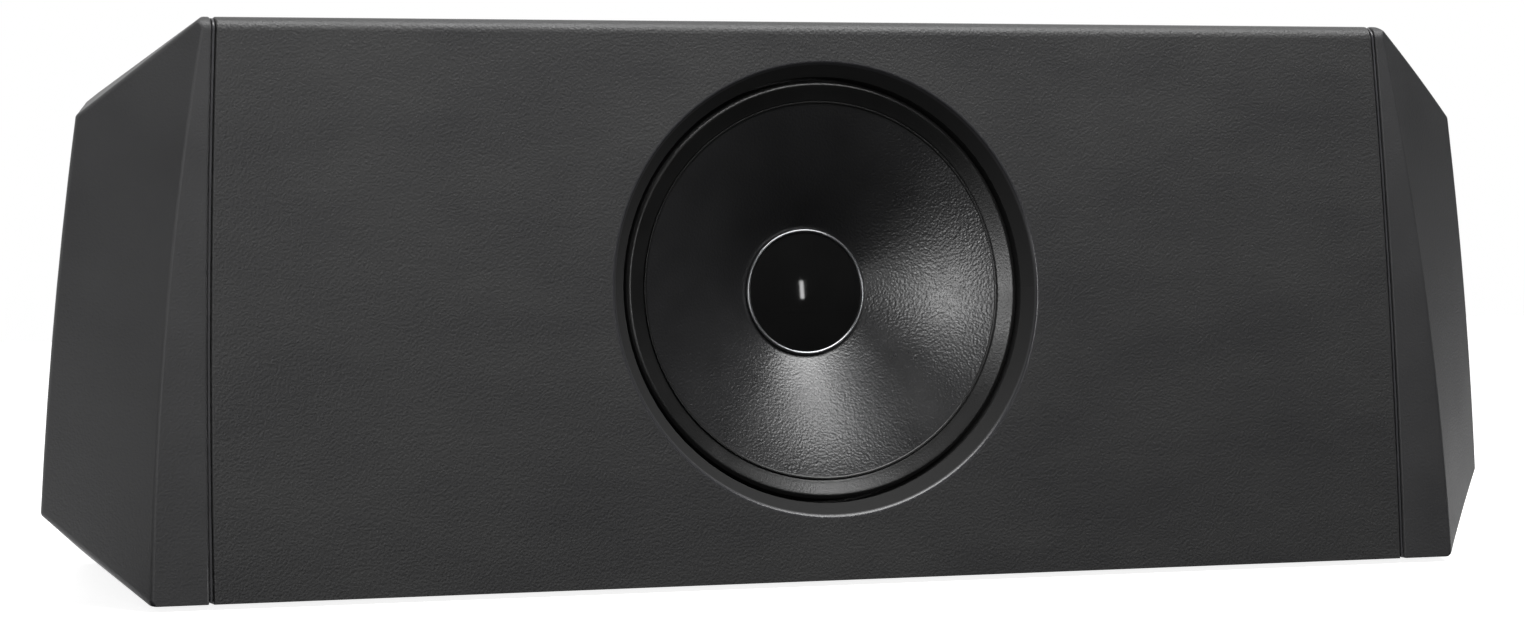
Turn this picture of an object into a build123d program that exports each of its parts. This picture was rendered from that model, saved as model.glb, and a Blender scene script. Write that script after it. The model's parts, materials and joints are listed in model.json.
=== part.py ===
"""Center channel loudspeaker with one driver, a leaning front and faceted end caps.

Millimetres, +Z up. The front faces -Y and the longest side lies along X.
The origin is in the middle of the base, level with the underside of the feet.
"""

import os
from math import asin, cos, hypot, radians, sin, tan

from build123d import *

# Cabinet: the wrapped board that makes front, top and bottom
CABINET_DEPTH = 180.0
CABINET_HEIGHT = 204.2
FRONT_LEAN = 4.5
TOP_SLOPE = 9.0
TOP_ROUND = 5.0
BAFFLE_THICKNESS = 18.0
BOARD_THICKNESS = 15.0
SEAM_HALF_BOTTOM = 231.8
SEAM_HALF_TOP = 226.0
SEAM_BOW = 1.4
SEAM_EDGE_ROUND = 0.6

# Seam between the wrap and an end cap, with its gasket
SEAM_GAP = 1.7
BEAD_WIDTH = 0.7
BEAD_RECESS = 0.5
GASKET_RECESS = 2.2
GASKET_WIDTH = 7.0

# End caps: half widths from the middle of the speaker to the cap's outer edges
CAP_FRONT_HALF_BOTTOM = 253.8
CAP_FRONT_HALF_TOP = 230.3
CAP_FRONT_BOW = 4.1
FACET_HALF_BOTTOM = 286.3
FACET_HALF_TOP = 266.4
FACET_BOW = 3.1
FACET_DEPTH = 36.0
CAP_BACK_HALF_BOTTOM = 243.0
CAP_BACK_HALF_TOP = 236.0
CAP_BACK_BOW = 1.4
CLIPPED_TOP = 35.2
CLIPPED_BOTTOM = 30.0
CLIP_BACK_INSET_TOP = 3.5
CLIP_BACK_INSET_BOTTOM = 6.0
CAP_WALL = 3.0
CAP_RIM_THICKNESS = 3.0
CAP_RIM_WIDTH = 10.0
CAP_EDGE_ROUND = 2.0

# End panels inside the wrap, and the screws that hold the caps to them
END_PANEL_THICKNESS = 13.0
BOSS_RADIUS = 5.0
BOSS_FROM_FRONT = 52.0
BOSS_FROM_BACK = 45.0
BOSS_FROM_EDGE = 52.0
CAP_SCREW_LENGTH = 30.0

# Wood screws: one size for caps and rear panel, a small one for the terminal cup
SCREW_RADIUS = 2.0
SCREW_HEAD_RADIUS = 4.0
SCREW_HEAD_HEIGHT = 2.4
SMALL_SCREW_RADIUS = 1.5
SMALL_SCREW_HEAD_RADIUS = 2.8
SMALL_SCREW_HEAD_HEIGHT = 1.6
SMALL_SCREW_LENGTH = 11.0
HEAD_CHAMFER = 0.6
SCREW_CLEARANCE = 0.05

# Rear panel on its battens
REAR_PANEL_THICKNESS = 15.0
REAR_PANEL_RECESS = 4.5
PANEL_CLEARANCE = 0.3
BATTEN_SIZE = 15.0
REAR_SCREW_COUNT = 5
REAR_SCREW_FROM_END = 25.0
REAR_SCREW_GRIP = 11.0

# Terminal cup in the rear panel
CUP_WIDTH = 76.0
CUP_HEIGHT = 56.0
CUP_DEPTH = 27.0
CUP_WALL = 2.5
CUP_CORNER = 8.0
CUP_FLANGE = 10.0
CUP_FLANGE_THICKNESS = 2.4
CUP_ABOVE_MIDDLE = -18.4

# Terminals: stud, collar, clamp knob, inner nut and solder tab
POST_SPACING = 36.0
STUD_RADIUS = 3.0
STUD_HEAD_RADIUS = 4.4
STUD_HEAD_HEIGHT = 1.6
COLLAR_RADIUS = 7.0
COLLAR_HEIGHT = 4.0
COLLAR_CHAMFER = 1.0
KNOB_RADIUS = 6.6
KNOB_LENGTH = 15.0
KNOB_SKIRT = 3.8
KNOB_FLUTES = 14
KNOB_FLUTE_RADIUS = 0.9
KNOB_RUNNING_GAP = 0.06
KNOB_SEAT_GAP = 0.3
KNOB_LIFT = 3.0
NUT_ACROSS_FLATS = 10.0
NUT_HEIGHT = 4.0
STUD_PROUD = 2.0
TAB_WIDTH = 6.3
TAB_LENGTH = 16.0
TAB_THICKNESS = 0.8
TAB_ROUND = 1.5
TAB_EYE_RADIUS = 5.1

# Driver mouth in the baffle
DRIVER_ABOVE_MIDDLE = 3.8
FLANGE_RADIUS = 88.0
FLANGE_FIT = 0.5
FLANGE_LAND = 9.9
MOUTH_CHAMFER_WIDTH = 5.1
MOUTH_CHAMFER_DEPTH = 4.2
MOUTH_EDGE_ROUND = 1.2
LIP_THICKNESS = 12.0

# Basket, its gasket and its screws
GASKET_THICKNESS = 1.5
GASKET_INSET = 0.5
FLANGE_THICKNESS = 4.5
FLANGE_WIDTH = 15.0
ARM_COUNT = 6
ARM_ANGLE = 20.0
ARM_THICKNESS = 3.0
LEDGE_RADIUS = 52.0
LEDGE_BORE = 45.0
LEDGE_DEPTH = 35.0
LEDGE_THICKNESS = 3.0
SEAT_WALL = 2.5
SEAT_BORE = 23.0
SEAT_THICKNESS = 3.5
DRIVER_SCREW_COUNT = 8
DRIVER_SCREW_FROM_EDGE = 5.0
DRIVER_SCREW_LENGTH = 12.5

# Cone, dust cap and trim ring
CONE_EDGE_FROM_HOLE = 8.9
CONE_EDGE_DEPTH = 6.4
CONE_THICKNESS = 1.0
CONE_NECK_DEPTH = 27.0
CONE_BELLY = 1.6
CONE_TRAVEL = 4.0
RING_RADIUS = 22.7
RING_WIRE = 0.65
CAP_DOME = 2.4
CAP_THICKNESS = 0.8

# Voice coil and motor
FORMER_RADIUS = 19.2
FORMER_WALL = 0.35
COIL_THICKNESS = 1.1
COIL_JOINT_GAP = 0.05
MAGNET_GAP = 0.7
POLE_GAP = 0.5
TOP_PLATE_RADIUS = 45.0
TOP_PLATE_THICKNESS = 6.0
MAGNET_RADIUS = 48.0
MAGNET_BORE = 27.0
MAGNET_THICKNESS = 16.0
MAGNET_CHAMFER = 1.2
BACK_PLATE_THICKNESS = 6.0
POLE_VENT_RADIUS = 5.0

# Surround and spider
SURROUND_THICKNESS = 0.8
SURROUND_CREST_FROM_HOLE = 2.9
SURROUND_CREST_DEPTH = 5.8
SURROUND_CREST_ROUND = 0.7
SURROUND_VALLEY_DROP = 1.6
SURROUND_FOOT_GAP = 0.6
SURROUND_BOND_WIDTH = 3.6
BOND_GAP = 0.3
SPIDER_THICKNESS = 0.7
SPIDER_NECK_WIDTH = 2.0
SPIDER_WAVES = 4
SPIDER_WAVE_HEIGHT = 1.6

# Terminal strip on the basket
STRIP_WIDTH = 22.0
STRIP_LENGTH = 15.0
STRIP_THICKNESS = 1.6
STRIP_OVERLAP = 4.0
STRIP_TAB_HEIGHT = 8.0
STRIP_TAB_FOOT = 3.2

# Damping fibre and feet
WAD_FROM_DRIVER = 14.0
WAD_CLEARANCE = 3.0
WAD_ROUND = 4.0
FOOT_RADIUS = 10.0
FOOT_HEIGHT = 2.0
FOOT_EDGE_ROUND = 0.5
FOOT_FROM_SEAM = 34.0
FOOT_FROM_FRONT = 32.0
FOOT_FROM_BACK = 26.0

# How far a cut runs past the face that it opens
OVERCUT = 1.0

# Worked out from the sizes above
LEAN = radians(FRONT_LEAN)
SLOPE = radians(TOP_SLOPE)
BASE_Z = FOOT_HEIGHT
TOP_Z = BASE_Z + CABINET_HEIGHT
MIDDLE_Z = (BASE_Z + TOP_Z) / 2
FRONT_Y = -CABINET_DEPTH / 2
BACK_Y = CABINET_DEPTH / 2
FACET_Y = FRONT_Y + FACET_DEPTH
BAFFLE_STEP = BAFFLE_THICKNESS / cos(LEAN)
PANEL_IN_X = SEAM_HALF_TOP - END_PANEL_THICKNESS
REAR_OUT_Y = BACK_Y - REAR_PANEL_RECESS
REAR_IN_Y = REAR_OUT_Y - REAR_PANEL_THICKNESS
INNER_LOW_Z = BASE_Z + BOARD_THICKNESS
INNER_DROP = BOARD_THICKNESS / cos(SLOPE)
HOLE_RADIUS = FLANGE_RADIUS - FLANGE_LAND
MOUTH_RADIUS = HOLE_RADIUS + MOUTH_CHAMFER_WIDTH
FLANGE_BORE = FLANGE_RADIUS - FLANGE_WIDTH
DRIVER_SCREW_CIRCLE = FLANGE_RADIUS - DRIVER_SCREW_FROM_EDGE
CONE_RADIUS = HOLE_RADIUS - CONE_EDGE_FROM_HOLE
SURROUND_CREST_RADIUS = HOLE_RADIUS - SURROUND_CREST_FROM_HOLE
REACH = 3 * CABINET_DEPTH
SIDES = {"left": -1, "right": 1}


def front_y(z):
    """Y of the leaning front at height z."""
    return FRONT_Y + (z - BASE_Z) * tan(LEAN)


def top_z(y):
    """Z of the top, which falls towards the back, at depth y."""
    return TOP_Z - (y - front_y(TOP_Z)) * tan(SLOPE)


def inner_top_z(y):
    """Z of the top board's underside at depth y."""
    return top_z(y) - INNER_DROP


def front_top_corner(step, drop):
    """Where the front, moved back by step, meets the top, lowered by drop."""
    back = (step - drop * tan(LEAN)) / (1 + tan(LEAN) * tan(SLOPE))
    y = front_y(TOP_Z) + back
    return y, top_z(y) - drop


def bowed(bottom, top, bow):
    """Half widths at the bottom, the middle and the top of an edge that bows outward."""
    return bottom, (bottom + top) / 2 + bow, top


def bowed_at(halves, z):
    """Half width at height z of an edge given by its bottom, middle and top."""
    share = (z - BASE_Z) / CABINET_HEIGHT
    straight = halves[0] + (halves[2] - halves[0]) * share
    bow = halves[1] - (halves[0] + halves[2]) / 2
    return straight + bow * 4 * share * (1 - share)


SEAM = bowed(SEAM_HALF_BOTTOM, SEAM_HALF_TOP, SEAM_BOW)


def side_profile(inset, back_inset):
    """Side view of the cabinet, drawn in from its outline; the front top corner is rounded."""
    low = BASE_Z + inset
    step = inset / cos(LEAN)
    drop = inset / cos(SLOPE)
    back = BACK_Y - back_inset
    corners = [
        (front_y(low) + step, low),
        (back, low),
        (back, top_z(back) - drop),
        front_top_corner(step, drop),
    ]
    face = make_face(Polyline(*corners, close=True))
    radius = TOP_ROUND - inset
    if radius > 0:
        corner = face.vertices().sort_by_distance((*corners[3], 0))[0]
        face = fillet(corner, radius)
    return face


def along_x(profile):
    """A side profile drawn out along X, past both ends of the speaker."""
    return extrude(Plane.YZ * profile, amount=REACH, both=True)


def seam_edge(offset, side):
    """The bowed line of a seam in front view, shifted outward by offset."""
    bottom, middle, top = (side * (half + offset) for half in SEAM)
    return ThreePointArc((bottom, BASE_Z), (middle, MIDDLE_Z), (top, TOP_Z))


def between(edge_a, edge_b):
    """Block between two upright lines of the front view, drawn through the cabinet along Y."""
    rail_low = Line(edge_a @ 0, edge_b @ 0)
    rail_high = Line(edge_a @ 1, edge_b @ 1)
    outline = make_face([edge_a, rail_high, edge_b, rail_low])
    return extrude(Plane.XZ * outline, amount=REACH, both=True)


def for_side(part, side):
    """A part made for the right end, mirrored when it belongs on the left."""
    return part if side > 0 else mirror(part, about=Plane.YZ)


def cavity(back):
    """Space inside the wrap, from behind the baffle to a depth, drawn out along X."""
    outline = Polyline(
        (front_y(INNER_LOW_Z) + BAFFLE_STEP, INNER_LOW_Z),
        (back, INNER_LOW_Z),
        (back, inner_top_z(back)),
        front_top_corner(BAFFLE_STEP, INNER_DROP),
        close=True,
    )
    return along_x(make_face(outline))


def turned(points):
    """Solid of revolution about Z from a closed outline of (radius, depth) points."""
    return revolve(Plane.XZ * make_face(Polyline(*points, close=True)), Axis.Z)


def tube(outer, bore, low, high):
    """Ring between two depths on the driver's axis."""
    return turned([(bore, low), (outer, low), (outer, high), (bore, high)])


def turned_sector(bore, outer, low, high, angle):
    """Part of a ring that spans an angle, centred on +X."""
    outline = make_face(Polyline((bore, low), (outer, low), (outer, high), (bore, high), close=True))
    return Rot(0, 0, -angle / 2) * revolve(Plane.XZ * outline, Axis.Z, angle)


def rod(radius, low, high):
    """Round bar between two depths on the Z axis."""
    return Pos(0, 0, low) * Cylinder(radius, high - low, align=(Align.CENTER, Align.CENTER, Align.MIN))


# The driver's own frame: origin where its axis meets the front, Z into the cabinet, Y down
DRIVER_Z = MIDDLE_Z + DRIVER_ABOVE_MIDDLE * cos(LEAN)
DRIVER_FRAME = Plane(
    origin=(0, front_y(DRIVER_Z), DRIVER_Z),
    x_dir=(1, 0, 0),
    z_dir=(0, cos(LEAN), -sin(LEAN)),
)


def on_driver(part):
    """Moves a part from the driver's own frame into the speaker's."""
    return DRIVER_FRAME.location * part


def screw(radius, head_radius, head_height, length):
    """Pan-head screw: the head's seat is at Z 0 and the shank runs along +Z."""
    head = rod(head_radius, -head_height, 0)
    head = chamfer(head.edges().group_by(Axis.Z)[0], HEAD_CHAMFER)
    return head + rod(radius, 0, length)


def boss_places():
    """Places of the right cap's screws on the end panel's inner face, with Z outward along X."""
    heights = (BASE_Z + BOSS_FROM_EDGE, TOP_Z - BOSS_FROM_EDGE)
    depths = (FRONT_Y + BOSS_FROM_FRONT, BACK_Y - BOSS_FROM_BACK)
    return [Pos(PANEL_IN_X, y, z) * Rot(0, 90, 0) for y in depths for z in heights]


def outer_seam_edges(part, offset):
    """Edges where a part's front and top meet its cut along a seam."""
    edges = []
    for edge in part.edges():
        middle = edge @ 0.5
        on_seam = abs(abs(middle.X) - bowed_at(SEAM, middle.Z) - offset) < SEAM_EDGE_ROUND / 2
        at_back = middle.Y > BACK_Y - SEAM_EDGE_ROUND
        underneath = middle.Z < BASE_Z + SEAM_EDGE_ROUND
        if on_seam and not at_back and not underneath:
            edges.append(edge)
    return edges


def moulded_edges(cap):
    """Edges of a cap that are moulded round: all but those of its seam and its front bottom edge."""
    edges = []
    for edge in cap.edges():
        middle = edge @ 0.5
        past_seam = middle.X > bowed_at(SEAM, middle.Z) + 2 * SEAM_GAP
        front_bottom = max(middle.Y - FRONT_Y, middle.Z - BASE_Z) < CAP_EDGE_ROUND
        if past_seam and not front_bottom:
            edges.append(edge)
    return edges


def cabinet_wrap():
    """Folded board: baffle, top and bottom, open at the back and at both ends."""
    solid = along_x(side_profile(0, 0)) & between(seam_edge(0, -1), seam_edge(0, 1))
    solid = fillet(outer_seam_edges(solid, 0), SEAM_EDGE_ROUND)
    solid -= cavity(BACK_Y + OVERCUT)
    mouth = turned(
        [
            (0, -BAFFLE_THICKNESS),
            (MOUTH_RADIUS, -BAFFLE_THICKNESS),
            (MOUTH_RADIUS, 0),
            (HOLE_RADIUS, MOUTH_CHAMFER_DEPTH),
            (HOLE_RADIUS, LIP_THICKNESS),
            (FLANGE_RADIUS + FLANGE_FIT, LIP_THICKNESS),
            (FLANGE_RADIUS + FLANGE_FIT, 2 * BAFFLE_THICKNESS),
            (0, 2 * BAFFLE_THICKNESS),
        ]
    )
    pilot_end = FLANGE_BACK - DRIVER_SCREW_LENGTH
    for place in driver_screw_places():
        mouth += place * rod(SCREW_RADIUS + SCREW_CLEARANCE, pilot_end, LIP_THICKNESS + OVERCUT)
    solid -= on_driver(mouth)
    rims = solid.edges().filter_by(GeomType.CIRCLE)
    rims = rims.filter_by(lambda edge: abs(edge.radius - MOUTH_RADIUS) < 1e-3)
    return fillet(rims, MOUTH_EDGE_ROUND)


def end_panel(side):
    """Board that closes one end of the wrap, trimmed flush with it, with holes for the cap screws."""
    inner_face = Line((PANEL_IN_X, BASE_Z), (PANEL_IN_X, TOP_Z))
    board = cavity(BACK_Y) & between(inner_face, seam_edge(0, 1))
    for place in boss_places():
        board -= place * rod(SCREW_RADIUS + SCREW_CLEARANCE, -OVERCUT, CAP_SCREW_LENGTH)
    return for_side(board, side)


def seam_gasket(side):
    """Frame in the seam, with a narrow bead that shows between wrap and cap."""
    base = along_x(side_profile(GASKET_RECESS, GASKET_RECESS))
    base &= between(seam_edge(0, 1), seam_edge(SEAM_GAP, 1))
    margin = (SEAM_GAP - BEAD_WIDTH) / 2
    bead = along_x(side_profile(BEAD_RECESS, BEAD_RECESS))
    bead &= between(seam_edge(margin, 1), seam_edge(SEAM_GAP - margin, 1))
    inner = GASKET_RECESS + GASKET_WIDTH
    frame = base + bead - along_x(side_profile(inner, inner))
    return for_side(frame, side)


def cap_section(y_bottom, y_top, halves):
    """Upright section of a cap's envelope, from inside the wrap to the cap's outer edge."""
    inner = PANEL_IN_X
    bottom, middle, top = halves
    low_in = (inner, y_bottom, BASE_Z)
    low_out = (bottom, y_bottom, BASE_Z)
    mid_out = (middle, (y_bottom + y_top) / 2, MIDDLE_Z)
    high_out = (top, y_top, TOP_Z)
    high_in = (inner, y_top, TOP_Z)
    edges = [
        Line(low_in, low_out),
        ThreePointArc(low_out, mid_out, high_out),
        Line(high_out, high_in),
        Line(high_in, low_in),
    ]
    return Face(Wire(edges))


def clip(points, inset):
    """Block on the far side of the plane through three points, drawn in by inset."""
    first, second, third = (Vector(*point) for point in points)
    normal = (second - first).cross(third - first).normalized()
    if normal.X < 0:
        normal = -normal
    plane = Plane(origin=first - normal * inset, z_dir=normal)
    block = Box(REACH, REACH, REACH, align=(Align.CENTER, Align.CENTER, Align.MIN))
    return plane.location * block


def cap_envelope(inset):
    """Form of the right end cap, continued inward into the wrap; inset draws all walls in."""
    front = bowed(CAP_FRONT_HALF_BOTTOM, CAP_FRONT_HALF_TOP, CAP_FRONT_BOW)
    facet = bowed(FACET_HALF_BOTTOM, FACET_HALF_TOP, FACET_BOW)
    back = bowed(CAP_BACK_HALF_BOTTOM, CAP_BACK_HALF_TOP, CAP_BACK_BOW)
    slant = hypot(FACET_DEPTH, FACET_HALF_BOTTOM - CAP_FRONT_HALF_BOTTOM) / FACET_DEPTH
    shift = inset * slant
    sections = [
        cap_section(front_y(BASE_Z), front_y(TOP_Z), [half - shift for half in front]),
        cap_section(FACET_Y, FACET_Y, [half - shift for half in facet]),
        cap_section(BACK_Y, BACK_Y, [half - shift for half in back]),
    ]
    form = loft(sections, ruled=True) & along_x(side_profile(inset, inset))
    high_z = TOP_Z - CLIPPED_TOP
    low_z = BASE_Z + CLIPPED_BOTTOM
    form -= clip(
        [
            (CAP_FRONT_HALF_TOP, front_y(TOP_Z), TOP_Z),
            (CAP_BACK_HALF_TOP - CLIP_BACK_INSET_TOP, BACK_Y, top_z(BACK_Y)),
            (bowed_at(facet, high_z), FACET_Y, high_z),
        ],
        inset,
    )
    form -= clip(
        [
            (CAP_FRONT_HALF_BOTTOM, FRONT_Y, BASE_Z),
            (CAP_BACK_HALF_BOTTOM - CLIP_BACK_INSET_BOTTOM, BACK_Y, BASE_Z),
            (bowed_at(facet, low_z), FACET_Y, low_z),
        ],
        inset,
    )
    return form


def end_cap(side):
    """Hollow moulded cap: thin walls, a rim at the seam and four screw bosses."""
    far_in = Line((0, BASE_Z), (0, TOP_Z))
    outer = cap_envelope(0)
    shell = outer - between(far_in, seam_edge(SEAM_GAP, 1))
    shell = fillet(moulded_edges(shell), CAP_EDGE_ROUND)
    shell = fillet(outer_seam_edges(shell, SEAM_GAP), SEAM_EDGE_ROUND)
    hollow = cap_envelope(CAP_WALL) - between(far_in, seam_edge(SEAM_GAP + CAP_RIM_THICKNESS, 1))
    opening = along_x(side_profile(CAP_RIM_WIDTH, CAP_RIM_WIDTH))
    opening &= between(far_in, seam_edge(SEAM_GAP + CAP_RIM_THICKNESS + OVERCUT, 1))
    shell -= hollow
    shell -= opening
    for place in boss_places():
        boss = place * rod(BOSS_RADIUS, 0, CABINET_DEPTH) - between(far_in, seam_edge(0, 1))
        shell += boss & cap_envelope(CAP_WALL / 2)
        shell -= place * rod(SCREW_RADIUS + SCREW_CLEARANCE, 0, CAP_SCREW_LENGTH + OVERCUT)
    return for_side(shell, side)


def end_cap_screws():
    """Eight screws, put in from inside through the end panels into the caps' bosses."""
    one = screw(SCREW_RADIUS, SCREW_HEAD_RADIUS, SCREW_HEAD_HEIGHT, CAP_SCREW_LENGTH)
    right = Compound([place * one for place in boss_places()])
    return Compound([for_side(right, side) for side in SIDES.values()])


def driver_screw_places():
    """Places on the driver's axis frame where its mounting screws go."""
    step = 360 / DRIVER_SCREW_COUNT
    return [
        Rot(0, 0, step * (index + 0.5)) * Pos(DRIVER_SCREW_CIRCLE, 0, 0)
        for index in range(DRIVER_SCREW_COUNT)
    ]


TOP_BATTEN_Z = inner_top_z(REAR_IN_Y) - BATTEN_SIZE


def rear_screw_places():
    """Places of the rear panel's screws, along the middle of both battens."""
    first = PANEL_IN_X - REAR_SCREW_FROM_END
    step = 2 * first / (REAR_SCREW_COUNT - 1)
    heights = (INNER_LOW_Z + BATTEN_SIZE / 2, TOP_BATTEN_Z + BATTEN_SIZE / 2)
    return [(first - step * index, z) for z in heights for index in range(REAR_SCREW_COUNT)]


def cup_outline(grow):
    """Rounded outline of the terminal cup in rear view, grown on all sides."""
    return RectangleRounded(CUP_WIDTH + 2 * grow, CUP_HEIGHT + 2 * grow, CUP_CORNER + grow)


CUP_FRAME = Plane(
    origin=(0, REAR_OUT_Y, MIDDLE_Z + CUP_ABOVE_MIDDLE), x_dir=(1, 0, 0), z_dir=(0, -1, 0)
)
CUP_SCREW_X = CUP_WIDTH / 2 + CUP_FLANGE / 2
CUP_SCREW_Z = CUP_HEIGHT / 2 - CUP_CORNER / 2
CUP_SCREW_PLACES = [
    Pos(x, y, 0) for x in (-CUP_SCREW_X, CUP_SCREW_X) for y in (-CUP_SCREW_Z, CUP_SCREW_Z)
]
CUP_FLOOR = CUP_DEPTH - CUP_WALL
POSTS = {"red": POST_SPACING / 2, "black": -POST_SPACING / 2}


def on_cup(part):
    """Moves a part from the cup's frame, with Z into the cabinet, into the speaker's."""
    return CUP_FRAME.location * part


def rear_panel():
    """Board set in the back, with the cup's opening and holes for all its screws."""
    half = PANEL_IN_X - PANEL_CLEARANCE
    low = INNER_LOW_Z + PANEL_CLEARANCE
    outline = Polyline(
        (REAR_IN_Y, low),
        (REAR_OUT_Y, low),
        (REAR_OUT_Y, inner_top_z(REAR_OUT_Y) - PANEL_CLEARANCE),
        (REAR_IN_Y, inner_top_z(REAR_IN_Y) - PANEL_CLEARANCE),
        close=True,
    )
    board = extrude(Plane.YZ * make_face(outline), amount=half, both=True)
    board -= on_cup(extrude(cup_outline(PANEL_CLEARANCE), REACH, both=True))
    for x, z in rear_screw_places():
        hole = rod(SCREW_RADIUS + SCREW_CLEARANCE, -OVERCUT, REAR_PANEL_THICKNESS + OVERCUT)
        board -= Pos(x, REAR_OUT_Y, z) * Rot(90, 0, 0) * hole
    for place in CUP_SCREW_PLACES:
        board -= on_cup(place * rod(SMALL_SCREW_RADIUS + SCREW_CLEARANCE, -OVERCUT, SMALL_SCREW_LENGTH))
    return board


def batten(low, high):
    """Strip behind the rear panel's edge that takes its screws, planed to fit the wrap."""
    strip = Box(2 * PANEL_IN_X, BATTEN_SIZE, high - low, align=(Align.CENTER, Align.MAX, Align.MIN))
    strip = Pos(0, REAR_IN_Y, low) * strip & cavity(REAR_IN_Y)
    for x, hole_z in rear_screw_places():
        bore = rod(SCREW_RADIUS + SCREW_CLEARANCE, -OVERCUT, REAR_SCREW_GRIP + OVERCUT)
        strip -= Pos(x, REAR_IN_Y, hole_z) * Rot(90, 0, 0) * bore
    return strip


def rear_panel_screws():
    """Screws along the top and bottom of the rear panel."""
    length = REAR_PANEL_THICKNESS + REAR_SCREW_GRIP
    one = screw(SCREW_RADIUS, SCREW_HEAD_RADIUS, SCREW_HEAD_HEIGHT, length)
    return Compound([Pos(x, REAR_OUT_Y, z) * Rot(90, 0, 0) * one for x, z in rear_screw_places()])


def terminal_cup():
    """Moulded tray let into the rear panel, with a flange outside and two stud holes."""
    tray = extrude(cup_outline(0), CUP_DEPTH)
    flange = RectangleRounded(
        CUP_WIDTH + 2 * CUP_FLANGE, CUP_HEIGHT + 2 * CUP_WALL, CUP_CORNER + CUP_WALL
    )
    tray += extrude(flange, -CUP_FLANGE_THICKNESS)
    hollow = Pos(0, 0, -CUP_FLANGE_THICKNESS) * cup_outline(-CUP_WALL)
    hollow = extrude(hollow, CUP_FLANGE_THICKNESS + CUP_FLOOR)
    hollow = fillet(hollow.edges().group_by(Axis.Z)[-1], CUP_WALL)
    tray -= hollow
    for x in POSTS.values():
        tray -= Pos(x, 0, 0) * rod(STUD_RADIUS + SCREW_CLEARANCE, CUP_FLOOR - OVERCUT, CUP_DEPTH + OVERCUT)
    for place in CUP_SCREW_PLACES:
        hole = rod(SMALL_SCREW_RADIUS + SCREW_CLEARANCE, -CUP_FLANGE_THICKNESS - OVERCUT, OVERCUT)
        tray -= place * hole
    return on_cup(tray)


def terminal_cup_screws():
    """Four small screws through the cup's flange."""
    one = screw(SMALL_SCREW_RADIUS, SMALL_SCREW_HEAD_RADIUS, SMALL_SCREW_HEAD_HEIGHT, SMALL_SCREW_LENGTH)
    seat = Pos(0, 0, -CUP_FLANGE_THICKNESS)
    return on_cup(Compound([place * seat * one for place in CUP_SCREW_PLACES]))


COLLAR_TOP = CUP_FLOOR - COLLAR_HEIGHT
KNOB_LOW = COLLAR_TOP - KNOB_SEAT_GAP
KNOB_HIGH = KNOB_LOW - KNOB_LENGTH


def terminal_studs():
    """Two plated studs, with flat end heads that keep the knobs on when they are undone."""
    inner_end = CUP_DEPTH + NUT_HEIGHT + TAB_THICKNESS + STUD_PROUD
    head_seat = KNOB_HIGH - KNOB_LIFT - KNOB_SEAT_GAP
    stud = rod(STUD_RADIUS, head_seat, inner_end)
    stud += rod(STUD_HEAD_RADIUS, head_seat - STUD_HEAD_HEIGHT, head_seat)
    return on_cup(Compound([Pos(x, 0, 0) * stud for x in POSTS.values()]))


def terminal_collar(x):
    """Insulating collar under a knob, seated on the cup's floor."""
    ring = tube(COLLAR_RADIUS, STUD_RADIUS + SCREW_CLEARANCE, COLLAR_TOP, CUP_FLOOR)
    ring = chamfer(ring.edges().group_by(Axis.Z)[0].sort_by(SortBy.RADIUS)[-1], COLLAR_CHAMFER)
    return on_cup(Pos(x, 0, 0) * ring)


def clamp_knob(x):
    """Fluted knob that turns on its stud."""
    knob = rod(KNOB_RADIUS, KNOB_HIGH, KNOB_LOW)
    knob = fillet(knob.edges().group_by(Axis.Z)[0], KNOB_FLUTE_RADIUS)
    for index in range(KNOB_FLUTES):
        flute = rod(KNOB_FLUTE_RADIUS, KNOB_HIGH - OVERCUT, KNOB_LOW - KNOB_SKIRT)
        knob -= Rot(0, 0, 360 * index / KNOB_FLUTES) * Pos(KNOB_RADIUS, 0, 0) * flute
    knob -= rod(STUD_RADIUS + KNOB_RUNNING_GAP, KNOB_HIGH - OVERCUT, KNOB_LOW + OVERCUT)
    return on_cup(Pos(x, 0, 0) * knob)


def solder_tabs():
    """Two flat tabs held under the inner nuts, pointing up inside the cabinet."""
    tab = RectangleRounded(TAB_WIDTH, TAB_LENGTH, TAB_ROUND)
    tab = Pos(0, TAB_LENGTH / 2 - TAB_WIDTH / 2, 0) * tab
    tab += Circle(TAB_EYE_RADIUS)
    plate = Pos(0, 0, CUP_DEPTH) * extrude(tab, TAB_THICKNESS)
    plate -= rod(STUD_RADIUS + SCREW_CLEARANCE, 0, 2 * CUP_DEPTH)
    return on_cup(Compound([Pos(x, 0, 0) * plate for x in POSTS.values()]))


def terminal_nuts():
    """Hexagon nuts on the studs' inner ends."""
    low = CUP_DEPTH + TAB_THICKNESS
    hexagon = RegularPolygon(NUT_ACROSS_FLATS / 2, 6, major_radius=False)
    nut = Pos(0, 0, low) * extrude(hexagon, NUT_HEIGHT)
    nut -= rod(STUD_RADIUS + SCREW_CLEARANCE, 0, 2 * CUP_DEPTH)
    return on_cup(Compound([Pos(x, 0, 0) * nut for x in POSTS.values()]))


# Depths along the driver's axis
FLANGE_FRONT = LIP_THICKNESS + GASKET_THICKNESS
FLANGE_BACK = FLANGE_FRONT + FLANGE_THICKNESS
SEAT_BACK = LEDGE_DEPTH + LEDGE_THICKNESS + SEAT_WALL + SEAT_THICKNESS
TOP_PLATE_BACK = SEAT_BACK + TOP_PLATE_THICKNESS
MAGNET_BACK = TOP_PLATE_BACK + MAGNET_THICKNESS
YOKE_BACK = MAGNET_BACK + BACK_PLATE_THICKNESS
COIL_OUTER = FORMER_RADIUS + COIL_JOINT_GAP + COIL_THICKNESS
NECK_RADIUS = FORMER_RADIUS + COIL_JOINT_GAP


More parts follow.
